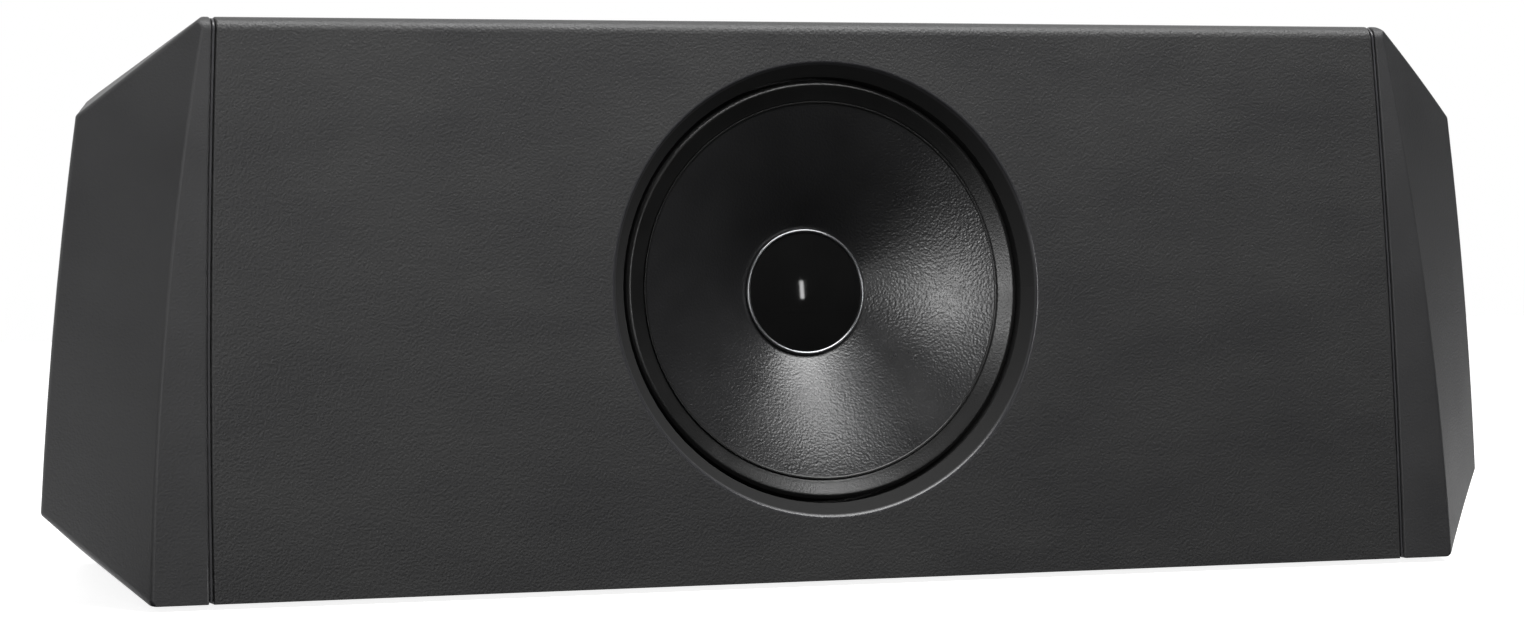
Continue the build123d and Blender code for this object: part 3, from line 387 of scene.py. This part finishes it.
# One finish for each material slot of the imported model

FINISHES = {
    # Calendered PVC film glued on board: charcoal, satin, a 1 mm pebble that barely breaks the light.
    "pebbled_vinyl": grained_finish(
        "vinyl leatherette, embossed", "#323233", "#393939", 26, 0.95, 0.11, (0.44, 0.52), (0.4, 1, 1)
    ),
    # Injection-moulded ABS from a spark-eroded mould: slightly lighter and drier than the film.
    "pebbled_abs": grained_finish(
        "ABS, textured mould", "#363637", "#3c3c3d", 30, 0.9, 0.06, (0.46, 0.54)
    ),
    # Extruded rubber bead: smooth, a thin line of gloss along its crown.
    "seam_rubber": grained_finish(
        "EPDM bead, extruded", "#3c3c3e", "#48484a", 14, 0.4, 0.004, (0.28, 0.36)
    ),
    # Sawn fibreboard: tan, dusty, with short dark and pale fibres.
    "raw_fibreboard": grained_finish(
        "MDF, sawn", "#8a6b47", "#b08e63", 2.4, 0.7, 0.06, (0.82, 0.95), (1, 1, 2.5)
    ),
    # Fibreboard under black foil: flat, with a weak leather print.
    "black_fibreboard": grained_finish(
        "MDF, black foil", "#1d1d1e", "#262627", 22, 1.3, 0.03, (0.5, 0.62)
    ),
    # Carded polyester wadding: off-white fibres, no gloss.
    "damping_fibre": grained_finish(
        "polyester wadding, carded", "#b9b7b0", "#e4e2dc", 3.2, 1.1, 0.5, (0.9, 1.0), (0.4, 1, 2)
    ),
    # Steel with black oxide: nearly black with a cold oily sheen.
    "black_screw": metal_finish(
        "steel, black oxide", "#202022", "#34343a", (0.38, 0.5), 0.6, (1, 1, 1), 0.006
    ),
    # Injection-moulded ABS, fine satin mould.
    "cup_plastic": grained_finish(
        "ABS, satin mould", "#161617", "#1d1d1e", 16, 0.5, 0.012, (0.36, 0.46)
    ),
    # Turned brass under nickel and thin gold: warm, bright, faint turning rings.
    "plated_brass": metal_finish(
        "brass, gold-plated", "#d2a755", "#ecca7c", (0.16, 0.26), 0.5, (1, 6, 1), 0.003
    ),
    # Tinned sheet: grey-white, soft.
    "tinned_tab": metal_finish(
        "brass, tinned", "#b4b6b8", "#d0d2d3", (0.26, 0.4), 0.8, (1, 3, 1), 0.004
    ),
    # Moulded ABS in signal red and in black, for the terminals' polarity.
    "red_plastic": grained_finish(
        "ABS, signal red", "#a3161a", "#b41d20", 12, 0.5, 0.008, (0.26, 0.36)
    ),
    "black_plastic": grained_finish(
        "ABS, gloss black", "#121213", "#19191a", 12, 0.5, 0.008, (0.24, 0.34)
    ),
    # Closed-cell foam tape.
    "gasket_foam": grained_finish(
        "PE foam, closed-cell", "#18181a", "#2a2a2c", 3, 0.6, 0.12, (0.85, 0.95)
    ),
    # Cast aluminium frame with baked black powder coat: fine orange peel.
    "coated_frame": grained_finish(
        "aluminium, powder-coated", "#141415", "#1b1b1c", 9, 1.6, 0.03, (0.3, 0.42)
    ),
    # Pressed paper pulp with a black coat: felt grain that sparkles in the highlights.
    "cone_pulp": grained_finish(
        "paper pulp, coated black", "#202021", "#252526", 18, 0.9, 0.065, (0.27, 0.32),
        **{"Specular IOR Level": 0.9}
    ),
    # Chromed wire ring, satin: a thin bright line all round, brightest at the bottom.
    "bright_ring": metal_finish(
        "steel wire, chromed", "#9c9d9f", "#acadaf", (0.3, 0.36), 0.8, (1, 1, 1), 0.002
    ),
    # Moulded dome with a lacquer-smooth face: black, one clear lamp reflection.
    "gloss_cap": grained_finish(
        "ABS, polished black", "#151515", "#181818", 14, 0.9, 0.0006, (0.05, 0.07)
    ),
    # Aluminium foil tube.
    "coil_former": metal_finish(
        "aluminium foil", "#a9abae", "#c5c7ca", (0.22, 0.34), 0.9, (1, 5, 1), 0.004
    ),
    # Enamelled copper wire: amber red, fine turns.
    "copper_winding": metal_finish(
        "copper wire, enamelled", "#8d4a22", "#c06c36", (0.24, 0.34), 0.45, (0.2, 4, 0.2), 0.05
    ),
    # Zinc-plated soft steel: bluish grey, slightly cloudy.
    "motor_steel": metal_finish(
        "steel, zinc-plated", "#9aa0a6", "#b9bec3", (0.3, 0.46), 6, (1, 1, 1), 0.006
    ),
    # Sintered ferrite: charcoal grey, dull, with small chips.
    "ferrite": grained_finish(
        "ferrite, sintered and ground", "#2c2c2e", "#3d3d40", 5, 0.8, 0.03, (0.55, 0.7)
    ),
    # Moulded butyl rubber roll: black, satin, nearly smooth.
    "surround_rubber": grained_finish(
        "butyl rubber, moulded", "#171717", "#1c1c1c", 16, 0.8, 0.03, (0.28, 0.34),
        **{"Specular IOR Level": 0.6}
    ),
    # Cotton cloth pressed with phenolic resin: amber weave.
    "spider_cloth": woven_finish(
        "cotton cloth, resin-dipped", "#8a6a35", "#c9a25c", 0.9, 0.08, 0.8
    ),
    # Paper laminate: brown, faint fibres, slight gloss.
    "phenolic_strip": grained_finish(
        "phenolic paper, punched", "#5b3a20", "#714a2a", 4, 0.6, 0.01, (0.34, 0.46), (1, 4, 1)
    ),
    # Moulded rubber feet: black and matt.
    "foot_rubber": grained_finish(
        "rubber, moulded", "#171717", "#202020", 8, 0.6, 0.02, (0.62, 0.75)
    ),
}

# Black paint on the bare routed edge of the mouth, its near-black also painted shade in the recess: flat,
# with a painted highlight as a lighter, glossy line along the rim.
paint_mouth_shade_and_highlight(FINISHES["pebbled_vinyl"], "#161616", "#3c3c3e", 0.85, 0.22)


def dress(piece, slot):
    """Gives a new piece the finish of a material slot."""
    piece.data.materials.clear()
    piece.data.materials.append(FINISHES[slot])


for node in frame["nodes"].values():
    slot = node.data.materials[0].name
    node.data.materials[0] = FINISHES[slot]


# Mesh helpers

def new_piece(name, mesh):
    """Shows a mesh as an object at the origin."""
    piece = bpy.data.objects.new(name, mesh)
    bpy.context.scene.collection.objects.link(piece)
    return piece


def mesh_from(bm, name, smooth=True):
    """Closes a bmesh into a mesh whose faces point outwards."""
    bmesh.ops.remove_doubles(bm, verts=bm.verts, dist=1e-6)
    bmesh.ops.recalc_face_normals(bm, faces=bm.faces)
    for face in bm.faces:
        face.smooth = smooth
    mesh = bpy.data.meshes.new(name)
    bm.to_mesh(mesh)
    bm.free()
    return mesh


def lathe(bm, outline, steps, place):
    """Turns a closed outline of (radius, height) points round the local Z axis of a placement."""
    rings = []
    for step in range(steps):
        angle = 2 * math.pi * step / steps
        turn = Vector((math.cos(angle), math.sin(angle), 0))
        rings.append([bm.verts.new(place @ (turn * r + Vector((0, 0, h)))) for r, h in outline])
    count = len(outline)
    for step, ring in enumerate(rings):
        after = rings[(step + 1) % steps]
        for at in range(count):
            nxt = (at + 1) % count
            bm.faces.new((ring[at], after[at], after[nxt], ring[nxt]))


def smooth_line(points, steps):
    """Catmull-Rom line through points of (radius, height)."""
    padded = [points[0], *points, points[-1]]
    line = []
    for before, start, end, after in zip(padded, padded[1:], padded[2:], padded[3:]):
        for step in range(steps):
            t = step / steps
            line.append(tuple(
                0.5 * (2 * s + (e - b) * t + (2 * b - 5 * s + 4 * e - a) * t ** 2
                       + (3 * s - b - 3 * e + a) * t ** 3)
                for b, s, e, a in zip(before, start, end, after)
            ))
    return line + [points[-1]]


def thickened(line, thickness):
    """Closed outline of a sheet that lies half its thickness on each side of a line."""
    sides = ([], [])
    for at, (r, h) in enumerate(line):
        r0, h0 = line[max(at - 1, 0)]
        r1, h1 = line[min(at + 1, len(line) - 1)]
        length = math.hypot(r1 - r0, h1 - h0)
        out_r, out_h = -(h1 - h0) / length * thickness / 2, (r1 - r0) / length * thickness / 2
        sides[0].append((r + out_r, h + out_h))
        sides[1].append((r - out_r, h - out_h))
    return sides[0] + sides[1][::-1]


def beside(place, step_mm):
    """Point that lies a step of (radius, depth) from a place."""
    return tuple(at + step * MM for at, step in zip(place, step_mm))


def flex(piece):
    """Bakes a round piece's placement into its mesh."""
    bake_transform(piece)


def rubber_surround():
    """Roll bonded behind the cone's edge: a straight ramp up to the crest, and a foot on the frame."""
    bond_in, foot_out, front, _ = reach("surround")
    _, cone_edge, cone_front, _ = reach("cone")
    flange_front = reach("driver_basket")[2]
    thick = SURROUND_THICK_MM * MM
    under = cone_front + (CONE_THICK_MM + BOND_GAP_MM) * MM + thick / 2
    edge = (cone_edge, under)
    crest = (foot_out - CREST_INSET_MM * MM, front + thick / 2 - CREST_LIFT_MM * MM)
    valley, ramp_top = beside(edge, ROLL_VALLEY_MM), beside(crest, RAMP_TOP_MM)
    ramp = [
        tuple(low + (high - low) * share for low, high in zip(valley, ramp_top))
        for share in RAMP_SHARES
    ]
    line = [(bond_in, under + BOND_DROP_MM * MM)] + smooth_line(
        [
            *(beside(edge, step) for step in ROLL_EDGE_MM),
            *ramp,
            *(beside(crest, step) for step in ROLL_CREST_MM),
            beside((foot_out, flange_front), ROLL_FOOT_MM),
            (foot_out - FOOT_INSET_MM * MM, flange_front - thick / 2),
        ],
        ROLL_STEPS,
    )
    bm = bmesh.new()
    lathe(bm, thickened(line, thick), LATHE_STEPS, DRIVER)
    piece = new_piece("rubber_surround", mesh_from(bm, "rubber_surround"))
    flex(piece)
    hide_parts("surround")
    dress(piece, "surround_rubber")


def edge_bead():
    """Low bead of black glue along the cone's edge, rounded towards the middle."""
    _, cone_edge, cone_front, _ = reach("cone")
    section = [
        (-0.85, 0.6), (-0.85, 0.3), (-0.78, 0.1), (-0.6, -0.06), (-0.36, -0.15), (-0.1, -0.18),
        (0.045, -0.18), (0.05, -0.18), (0.06, -0.17), (0.06, -0.165), (0.06, 0.57), (0.03, 0.6),
    ]
    bm = bmesh.new()
    lathe(bm, [(cone_edge + r * MM, cone_front + h * MM) for r, h in section], LATHE_STEPS, DRIVER)
    piece = new_piece("edge_bead", mesh_from(bm, "edge_bead"))
    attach(piece, "diaphragm")
    dress(piece, "surround_rubber")


def dome_cap():
    """Shallow polished dome inside the bright ring, with points close to its edge for a crisp border."""
    _, edge, top, back = reach("dust_cap")
    thick = CAP_THICK_MM * MM
    rise = back - top - thick
    radius = (edge ** 2 + rise ** 2) / (2 * rise)
    spread = math.asin(edge / radius)
    steps = (*range(DOME_STEPS), DOME_STEPS - DOME_EDGE_STEP, DOME_STEPS)
    angles = [spread * step / DOME_STEPS for step in steps]
    front = [(radius * math.sin(angle), top + radius * (1 - math.cos(angle))) for angle in angles]
    bm = bmesh.new()
    lathe(bm, front + [(r, h + thick) for r, h in reversed(front)], LATHE_STEPS, DRIVER)
    piece = new_piece("dome_cap", mesh_from(bm, "dome_cap"))
    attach(piece, "diaphragm")
    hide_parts("dust_cap")
    dress(piece, "gloss_cap")


def cloth_spider():
    """Corrugated disc from the coil former to the ledge of the frame."""
    inner, rim, front, back = reach("spider")
    thick = SPIDER_THICK_MM * MM
    middle = (front + back) / 2
    flat = SPIDER_FLAT_SHARE * (rim - inner)
    line = []
    steps = SPIDER_WAVE_STEPS * SPIDER_WAVES
    for step in range(steps + 1):
        share = step / steps
        radius = inner + flat + share * (rim - inner - (1 + SPIDER_RIM_FLATS) * flat)
        wave = math.sin(2 * math.pi * SPIDER_WAVES * share) * SPIDER_WAVE_MM * MM
        line.append((radius, middle - wave))
    line = [(inner, middle)] + line + [(rim, middle)]
    bm = bmesh.new()
    lathe(bm, thickened(line, thick), LATHE_STEPS, DRIVER)
    piece = new_piece("cloth_spider", mesh_from(bm, "cloth_spider"))
    flex(piece)
    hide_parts("spider")
    dress(piece, "spider_cloth")


# Screws and threads, placed and swept by Geometry Nodes

def new_tree(name, inputs):
    """Starts a Geometry Nodes tree with named inputs and returns it with its input node."""
    tree = bpy.data.node_groups.new(name, "GeometryNodeTree")
    for label, kind in inputs.items():
        tree.interface.new_socket(label, in_out="INPUT", socket_type=kind)
    tree.interface.new_socket("Geometry", in_out="OUTPUT", socket_type="NodeSocketGeometry")
    return tree, add_node(tree, "NodeGroupInput").outputs


def grow(name, mesh, tree, values):
    """Runs a tree on a mesh with the given input values and returns the result as a plain mesh."""
    carrier = new_piece(name, mesh)
    modifier = carrier.modifiers.new(tree.name, "NODES")
    modifier.node_group = tree
    for item in tree.interface.items_tree:
        if item.in_out == "INPUT" and item.name in values:
            modifier[item.identifier] = values[item.name]
    bpy.context.view_layer.update()
    depsgraph = bpy.context.evaluated_depsgraph_get()
    result = bpy.data.meshes.new_from_object(carrier.evaluated_get(depsgraph))
    bpy.data.objects.remove(carrier)
    result.name = name
    return result


def screws_tree():
    """Stands a screw on every point of a mesh, along +Y, each turned by its own angle."""
    tree, given = new_tree("screws on points", {
        "Geometry": "NodeSocketGeometry",
        "Screw": "NodeSocketObject",
        "Size": "NodeSocketFloat",
        "Finish": "NodeSocketMaterial",
    })
    screw = add_node(tree, "GeometryNodeObjectInfo", {"Object": given["Screw"]})
    spin = add_node(tree, "FunctionNodeRandomValue", {2: 0.0, 3: math.pi / 2, "Seed": SCREW_SEED})
    turn = add_node(tree, "ShaderNodeCombineXYZ", {"X": -math.pi / 2, "Y": spin.outputs[1]})
    stood = add_node(tree, "GeometryNodeInstanceOnPoints", {
        "Points": given["Geometry"],
        "Instance": screw.outputs["Geometry"],
        "Rotation": turn.outputs["Vector"],
        "Scale": given["Size"],
    })
    real = add_node(tree, "GeometryNodeRealizeInstances", {"Geometry": stood.outputs["Instances"]})
    done = add_node(tree, "GeometryNodeSetMaterial", {
        "Geometry": real.outputs["Geometry"], "Material": given["Finish"],
    })
    add_node(tree, "NodeGroupOutput", {"Geometry": done.outputs["Geometry"]})
    return tree


def lathe_open(bm, outline, steps):
    """Turns an open outline that starts on the axis."""
    rings = []
    for step in range(steps):
        angle = 2 * math.pi * step / steps
        c, s = math.cos(angle), math.sin(angle)
        rings.append([bm.verts.new((r * c, r * s, h)) for r, h in outline[1:]])
    tip = bm.verts.new((0, 0, outline[0][1]))
    for step, ring in enumerate(rings):
        after = rings[(step + 1) % steps]
        bm.faces.new((tip, after[0], ring[0]))
        for at in range(len(ring) - 1):
            bm.faces.new((ring[at], after[at], after[at + 1], ring[at + 1]))


def cross_recess(bm, top, reach, half_width, depth):
    """Fills a screw head's flat top round a tapered cross-shaped pocket."""
    w = half_width
    mouth = []
    for quarter in range(4):
        turn = Matrix.Rotation(quarter * math.pi / 2, 3, "Z")
        mouth += [turn @ Vector(p) for p in ((w, w, top), (w, reach, top), (-w, reach, top))]
    upper = [bm.verts.new(p) for p in mouth]
    lower = [bm.verts.new((p.x * RECESS_TAPER, p.y * RECESS_TAPER, top - depth)) for p in mouth]
    count = len(mouth)
    for at in range(count):
        nxt = (at + 1) % count
        bm.faces.new((upper[at], upper[nxt], lower[nxt], lower[at]))
    bm.faces.new(lower)
    border = [e for e in bm.edges if e.is_boundary and all(abs(v.co.z - top) < 1e-6 for v in e.verts)]
    bmesh.ops.triangle_fill(bm, use_beauty=True, edges=border)


def screw_shape():
    """Pan-head screw of unit head radius, seated at the origin: cross recess, pointed shank."""
    bm = bmesh.new()
    rim = [(0.0, -4.6), (0.12, -4.4), (0.42, -3.6), (0.42, 0.0), (1.0, 0.0), (1.0, 0.22),
           (0.93, 0.42), (0.78, 0.55), (0.6, 0.6)]
    lathe_open(bm, rim, SCREW_STEPS)
    cross_recess(bm, top=0.6, reach=0.5, half_width=0.1, depth=0.34)
    return mesh_from(bm, "pan_head_screw")


def screws(node, columns, rows, head_mm, tree, shape):
    """Replaces a node of screws that stand in columns and rows on a face that looks to +Y."""
    low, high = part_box(node)
    size = head_mm * MM
    seat = high.y - SCREW_HEAD_SHARE * size
    mesh = bpy.data.meshes.new(node)
    mesh.from_pydata([
        (low.x + size + (high.x - low.x - 2 * size) * column / (columns - 1), seat,
         low.z + size + (high.z - low.z - 2 * size) * row / (rows - 1))
        for column in range(columns) for row in range(rows)
    ], [], [])
    values = {"Screw": shape, "Size": size, "Finish": FINISHES["black_screw"]}
    piece = new_piece("cross_" + node, grow("cross_" + node, mesh, tree, values))
    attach(piece, "cabinet")
    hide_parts(node)


def studs_tree():
    """Winds a ridged thread round a core along Z and stands the two together on every point."""
    tree, given = new_tree("threaded studs on points", {
        "Geometry": "NodeSocketGeometry",
        "Core": "NodeSocketObject",
        "Radius": "NodeSocketFloat",
        "Length": "NodeSocketFloat",
        "Pitch": "NodeSocketFloat",
        "Ridge": "NodeSocketFloat",
        "Finish": "NodeSocketMaterial",
    })
    turns = add_node(tree, "ShaderNodeMath", {0: given["Length"], 1: given["Pitch"]}, operation="DIVIDE")
    helix = add_node(tree, "GeometryNodeCurveSpiral", {
        "Resolution": THREAD_STEPS,
        "Rotations": turns.outputs["Value"],
        "Start Radius": given["Radius"],
        "End Radius": given["Radius"],
        "Height": given["Length"],
    })
    section = add_node(tree, "GeometryNodeCurvePrimitiveCircle", {
        "Resolution": 4, "Radius": given["Ridge"],
    })
    ridge = add_node(tree, "GeometryNodeCurveToMesh", {
        "Curve": helix.outputs["Curve"],
        "Profile Curve": section.outputs["Curve"],
        "Fill Caps": True,
    })
    core = add_node(tree, "GeometryNodeObjectInfo", {"Object": given["Core"]})
    stud = add_node(tree, "GeometryNodeJoinGeometry", {"Geometry": ridge.outputs["Mesh"]})
    tree.links.new(core.outputs["Geometry"], stud.inputs["Geometry"])
    stood = add_node(tree, "GeometryNodeInstanceOnPoints", {
        "Points": given["Geometry"],
        "Instance": stud.outputs["Geometry"],
        "Rotation": (-math.pi / 2, 0, 0),
    })
    real = add_node(tree, "GeometryNodeRealizeInstances", {"Geometry": stood.outputs["Instances"]})
    done = add_node(tree, "GeometryNodeSetMaterial", {
        "Geometry": real.outputs["Geometry"], "Material": given["Finish"],
    })
    add_node(tree, "NodeGroupOutput", {"Geometry": done.outputs["Geometry"]})
    return tree


def threaded_studs():
    """Replaces the plain studs: threaded shanks with a flat, edge-rounded head at the outer end."""
    low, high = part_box("terminal_studs")
    length = high.y - low.y
    head_r, head_h = (value * MM for value in STUD_HEAD_MM)
    core_r = STUD_CORE_MM * MM
    tip, head_round = STUD_TIP_MM * MM, STUD_HEAD_ROUND_MM * MM
    outline = [
        (0, 0), (core_r - tip, 0), (core_r, tip), (core_r, length - head_h),
        (head_r, length - head_h), (head_r, length - head_round), (head_r - head_round, length), (0, length),
    ]
    bm = bmesh.new()
    lathe(bm, outline, SCREW_STEPS, Matrix.Identity(4))
    core = new_piece("stud_core", mesh_from(bm, "stud_core", smooth=False))
    points = bpy.data.meshes.new("stud_points")
    points.from_pydata([(x * MM, low.y, (low.z + high.z) / 2) for x in POST_X_MM], [], [])
    mesh = grow("threaded_studs", points, studs_tree(), {
        "Core": core,
        "Radius": core_r,
        "Length": length - head_h,
        "Pitch": THREAD_PITCH_MM * MM,
        "Ridge": THREAD_RIDGE_MM * MM,
        "Finish": FINISHES["plated_brass"],
    })
    bpy.data.objects.remove(core)
    piece = new_piece("threaded_studs", mesh)
    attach(piece, "cabinet")
    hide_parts("terminal_studs")


# Damping fibre

def wadding(side):
    """Lumpy wad of fibre that fills its CAD block: flat faces pulled in by soft lumps and tufts."""
    node = side + "_damping_wad"
    low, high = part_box(node)
    size = high - low
    middle = (low + high) / 2
    block = Matrix.Translation(middle) @ Matrix.Diagonal((*size, 1))
    cuts = int(size.z / (WAD_STEP_MM * MM))
    bm = bmesh.new()
    bmesh.ops.create_cube(bm, size=1.0, matrix=block)
    bmesh.ops.subdivide_edges(bm, edges=bm.edges, cuts=cuts, use_grid_fill=True)
    for vertex in bm.verts:
        at = vertex.co - middle
        shares = [abs(a) / (s / 2) for a, s in zip(at, size)]
        corner = sum(sorted(shares)[:2]) / 2
        tuft = WAD_TUFT_SHARE * noise.noise(vertex.co / (WAD_TUFT_MM * MM))
        lump = noise.noise(vertex.co / (WAD_LUMP_MM * MM)) + tuft
        pull = (WAD_PULL_MM + WAD_DEPTH_MM * lump) * MM + WAD_CORNER_MM * MM * corner ** WAD_CORNER_POWER
        vertex.co -= at.normalized() * max(pull, 0)
    piece = new_piece("fibre_" + node, mesh_from(bm, "fibre_" + node))
    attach(piece, "cabinet")
    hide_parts(node)
    dress(piece, "damping_fibre")


# Making the pieces

rubber_surround()
edge_bead()
dome_cap()
cloth_spider()
screw_stand = new_piece("screw_stand", screw_shape())
stand_screws = screws_tree()
screws("rear_panel_screws", 5, 2, REAR_HEAD_MM, stand_screws, screw_stand)
screws("terminal_cup_screws", 2, 2, CUP_HEAD_MM, stand_screws, screw_stand)
bpy.data.objects.remove(screw_stand)
threaded_studs()
wadding("left")
wadding("right")


# Studio: white world and floor for the eye, dark cloth in front, four lamps

def light_path_seen(tree):
    """One where the camera, a mirror or clear glass looks, nought where only light arrives."""
    path = add_node(tree, "ShaderNodeLightPath").outputs
    mirror = add_node(
        tree, "ShaderNodeMath",
        {0: path["Is Glossy Ray"], 1: path["Is Transmission Ray"]},
        operation="MAXIMUM",
    )
    seen = add_node(
        tree, "ShaderNodeMath",
        {0: path["Is Camera Ray"], 1: mirror.outputs["Value"]},
        operation="MAXIMUM",
    )
    return seen.outputs["Value"]


def white_world():
    """World that looks white and lights the object softly from all round."""
    world = bpy.data.worlds.new("white studio")
    world.use_nodes = True
    tree = world.node_tree
    tree.nodes.clear()
    strength = add_node(
        tree, "ShaderNodeMapRange", {"Value": light_path_seen(tree), "To Min": AMBIENT, "To Max": 1.0}
    )
    white = add_node(
        tree, "ShaderNodeBackground", {"Color": (1, 1, 1, 1), "Strength": strength.outputs["Result"]}
    )
    add_node(tree, "ShaderNodeOutputWorld", {"Surface": white.outputs["Background"]})
    bpy.context.scene.world = world


def pale_floor():
    """White table: its own shade is kept, and a glow for the eye alone lifts it to the white behind."""
    finish, tree = new_finish("white table")
    glow = add_node(
        tree, "ShaderNodeMapRange", {"Value": light_path_seen(tree), "To Min": 0.0, "To Max": FLOOR_GLOW}
    )
    matt = add_node(tree, "ShaderNodeBsdfDiffuse", {"Color": linear("#e6e6e6")})
    lift = add_node(tree, "ShaderNodeEmission", {"Strength": glow.outputs["Result"]})
    both = add_node(tree, "ShaderNodeAddShader", {0: matt.outputs["BSDF"], 1: lift.outputs["Emission"]})
    add_node(tree, "ShaderNodeOutputMaterial", {"Surface": both.outputs["Shader"]})
    mesh = bpy.data.meshes.new("floor")
    h = FLOOR_HALF
    mesh.from_pydata([(-h, -h, 0), (h, -h, 0), (h, h, 0), (-h, h, 0)], [], [(0, 1, 2, 3)])
    mesh.materials.append(finish)
    new_piece("floor", mesh)


def black_cloth(name, points, faces):
    """Dark cloth on the set, out of the camera's sight."""
    finish, tree = new_finish(name)
    cloth = add_node(tree, "ShaderNodeBsdfDiffuse", {"Color": linear("#161616")})
    add_node(tree, "ShaderNodeOutputMaterial", {"Surface": cloth.outputs["BSDF"]})
    mesh = bpy.data.meshes.new(name)
    mesh.from_pydata(points, [], faces)
    mesh.materials.append(finish)
    flag = new_piece(name, mesh)
    flag.visible_camera = False
    return flag


def black_flags():
    """Black cloth round the front of the set, and a black card on the floor before the speaker."""
    points, faces = [], []
    for step in range(FLAG_STEPS + 1):
        angle = math.radians(FLAG_FROM + (FLAG_TO - FLAG_FROM) * step / FLAG_STEPS)
        foot = Vector((math.sin(angle), -math.cos(angle), 0)) * FLAG_RADIUS
        points += [foot, foot + Vector((0, 0, FLAG_HEIGHT))]
    for step in range(FLAG_STEPS):
        a = 2 * step
        faces.append((a, a + 2, a + 3, a + 1))
    black_cloth("front_flag", points, faces)
    left, right, near, far = CARD_FROM_X, FLAG_RADIUS, CARD_FROM_Y, -FLAG_RADIUS
    corners = [(x, y, CARD_RISE) for x, y in ((left, near), (left, far), (right, far), (right, near))]
    card = black_cloth("front_card", corners, [(0, 1, 2, 3)])
    card.visible_shadow = False


def lamp(name, azimuth, elevation, distance, width, height, power, aside=0.0):
    """Rectangular lamp that faces the speaker, or a place beside its middle."""
    light = bpy.data.lights.new(name, "AREA")
    light.shape = "RECTANGLE"
    light.size = width
    light.size_y = height
    light.energy = power
    shown = bpy.data.objects.new(name, light)
    bpy.context.scene.collection.objects.link(shown)
    a, e = math.radians(azimuth), math.radians(elevation)
    out = Vector((math.sin(a) * math.cos(e), -math.cos(a) * math.cos(e), math.sin(e)))
    shown.location = LIGHT_CENTRE + Vector((aside, 0, 0)) + out * distance
    shown.rotation_euler = out.to_track_quat("Z", "Y").to_euler()
    shown.visible_camera = False


def photo_camera():
    """Camera at the photograph's place."""
    camera = bpy.data.cameras.new("camera")
    camera.sensor_fit = "HORIZONTAL"
    camera.sensor_width = SENSOR_MM
    camera.lens = LENS_MM
    shown = bpy.data.objects.new("camera", camera)
    shown.location = Vector(CAMERA_PLACE_MM) * MM
    shown.rotation_euler = (math.radians(90 + CAMERA_TILT), 0, -math.radians(CAMERA_TURN))
    bpy.context.scene.collection.objects.link(shown)
    bpy.context.scene.camera = shown


white_world()
pale_floor()
black_flags()
lamp(
    "overhead softbox", azimuth=0, elevation=70, distance=0.8, width=1.1, height=0.3, power=9.6, aside=0.18
)
lamp("top softbox", azimuth=29, elevation=42.5, distance=1.6, width=0.24, height=0.3, power=3.2)
lamp("side softbox", azimuth=-16, elevation=8, distance=2.2, width=0.24, height=0.46, power=7.6)
lamp("strip lamp", azimuth=18.5, elevation=7, distance=2.5, width=0.075, height=0.32, power=0.9)
photo_camera()
bpy.context.scene.view_settings.view_transform = "Standard"
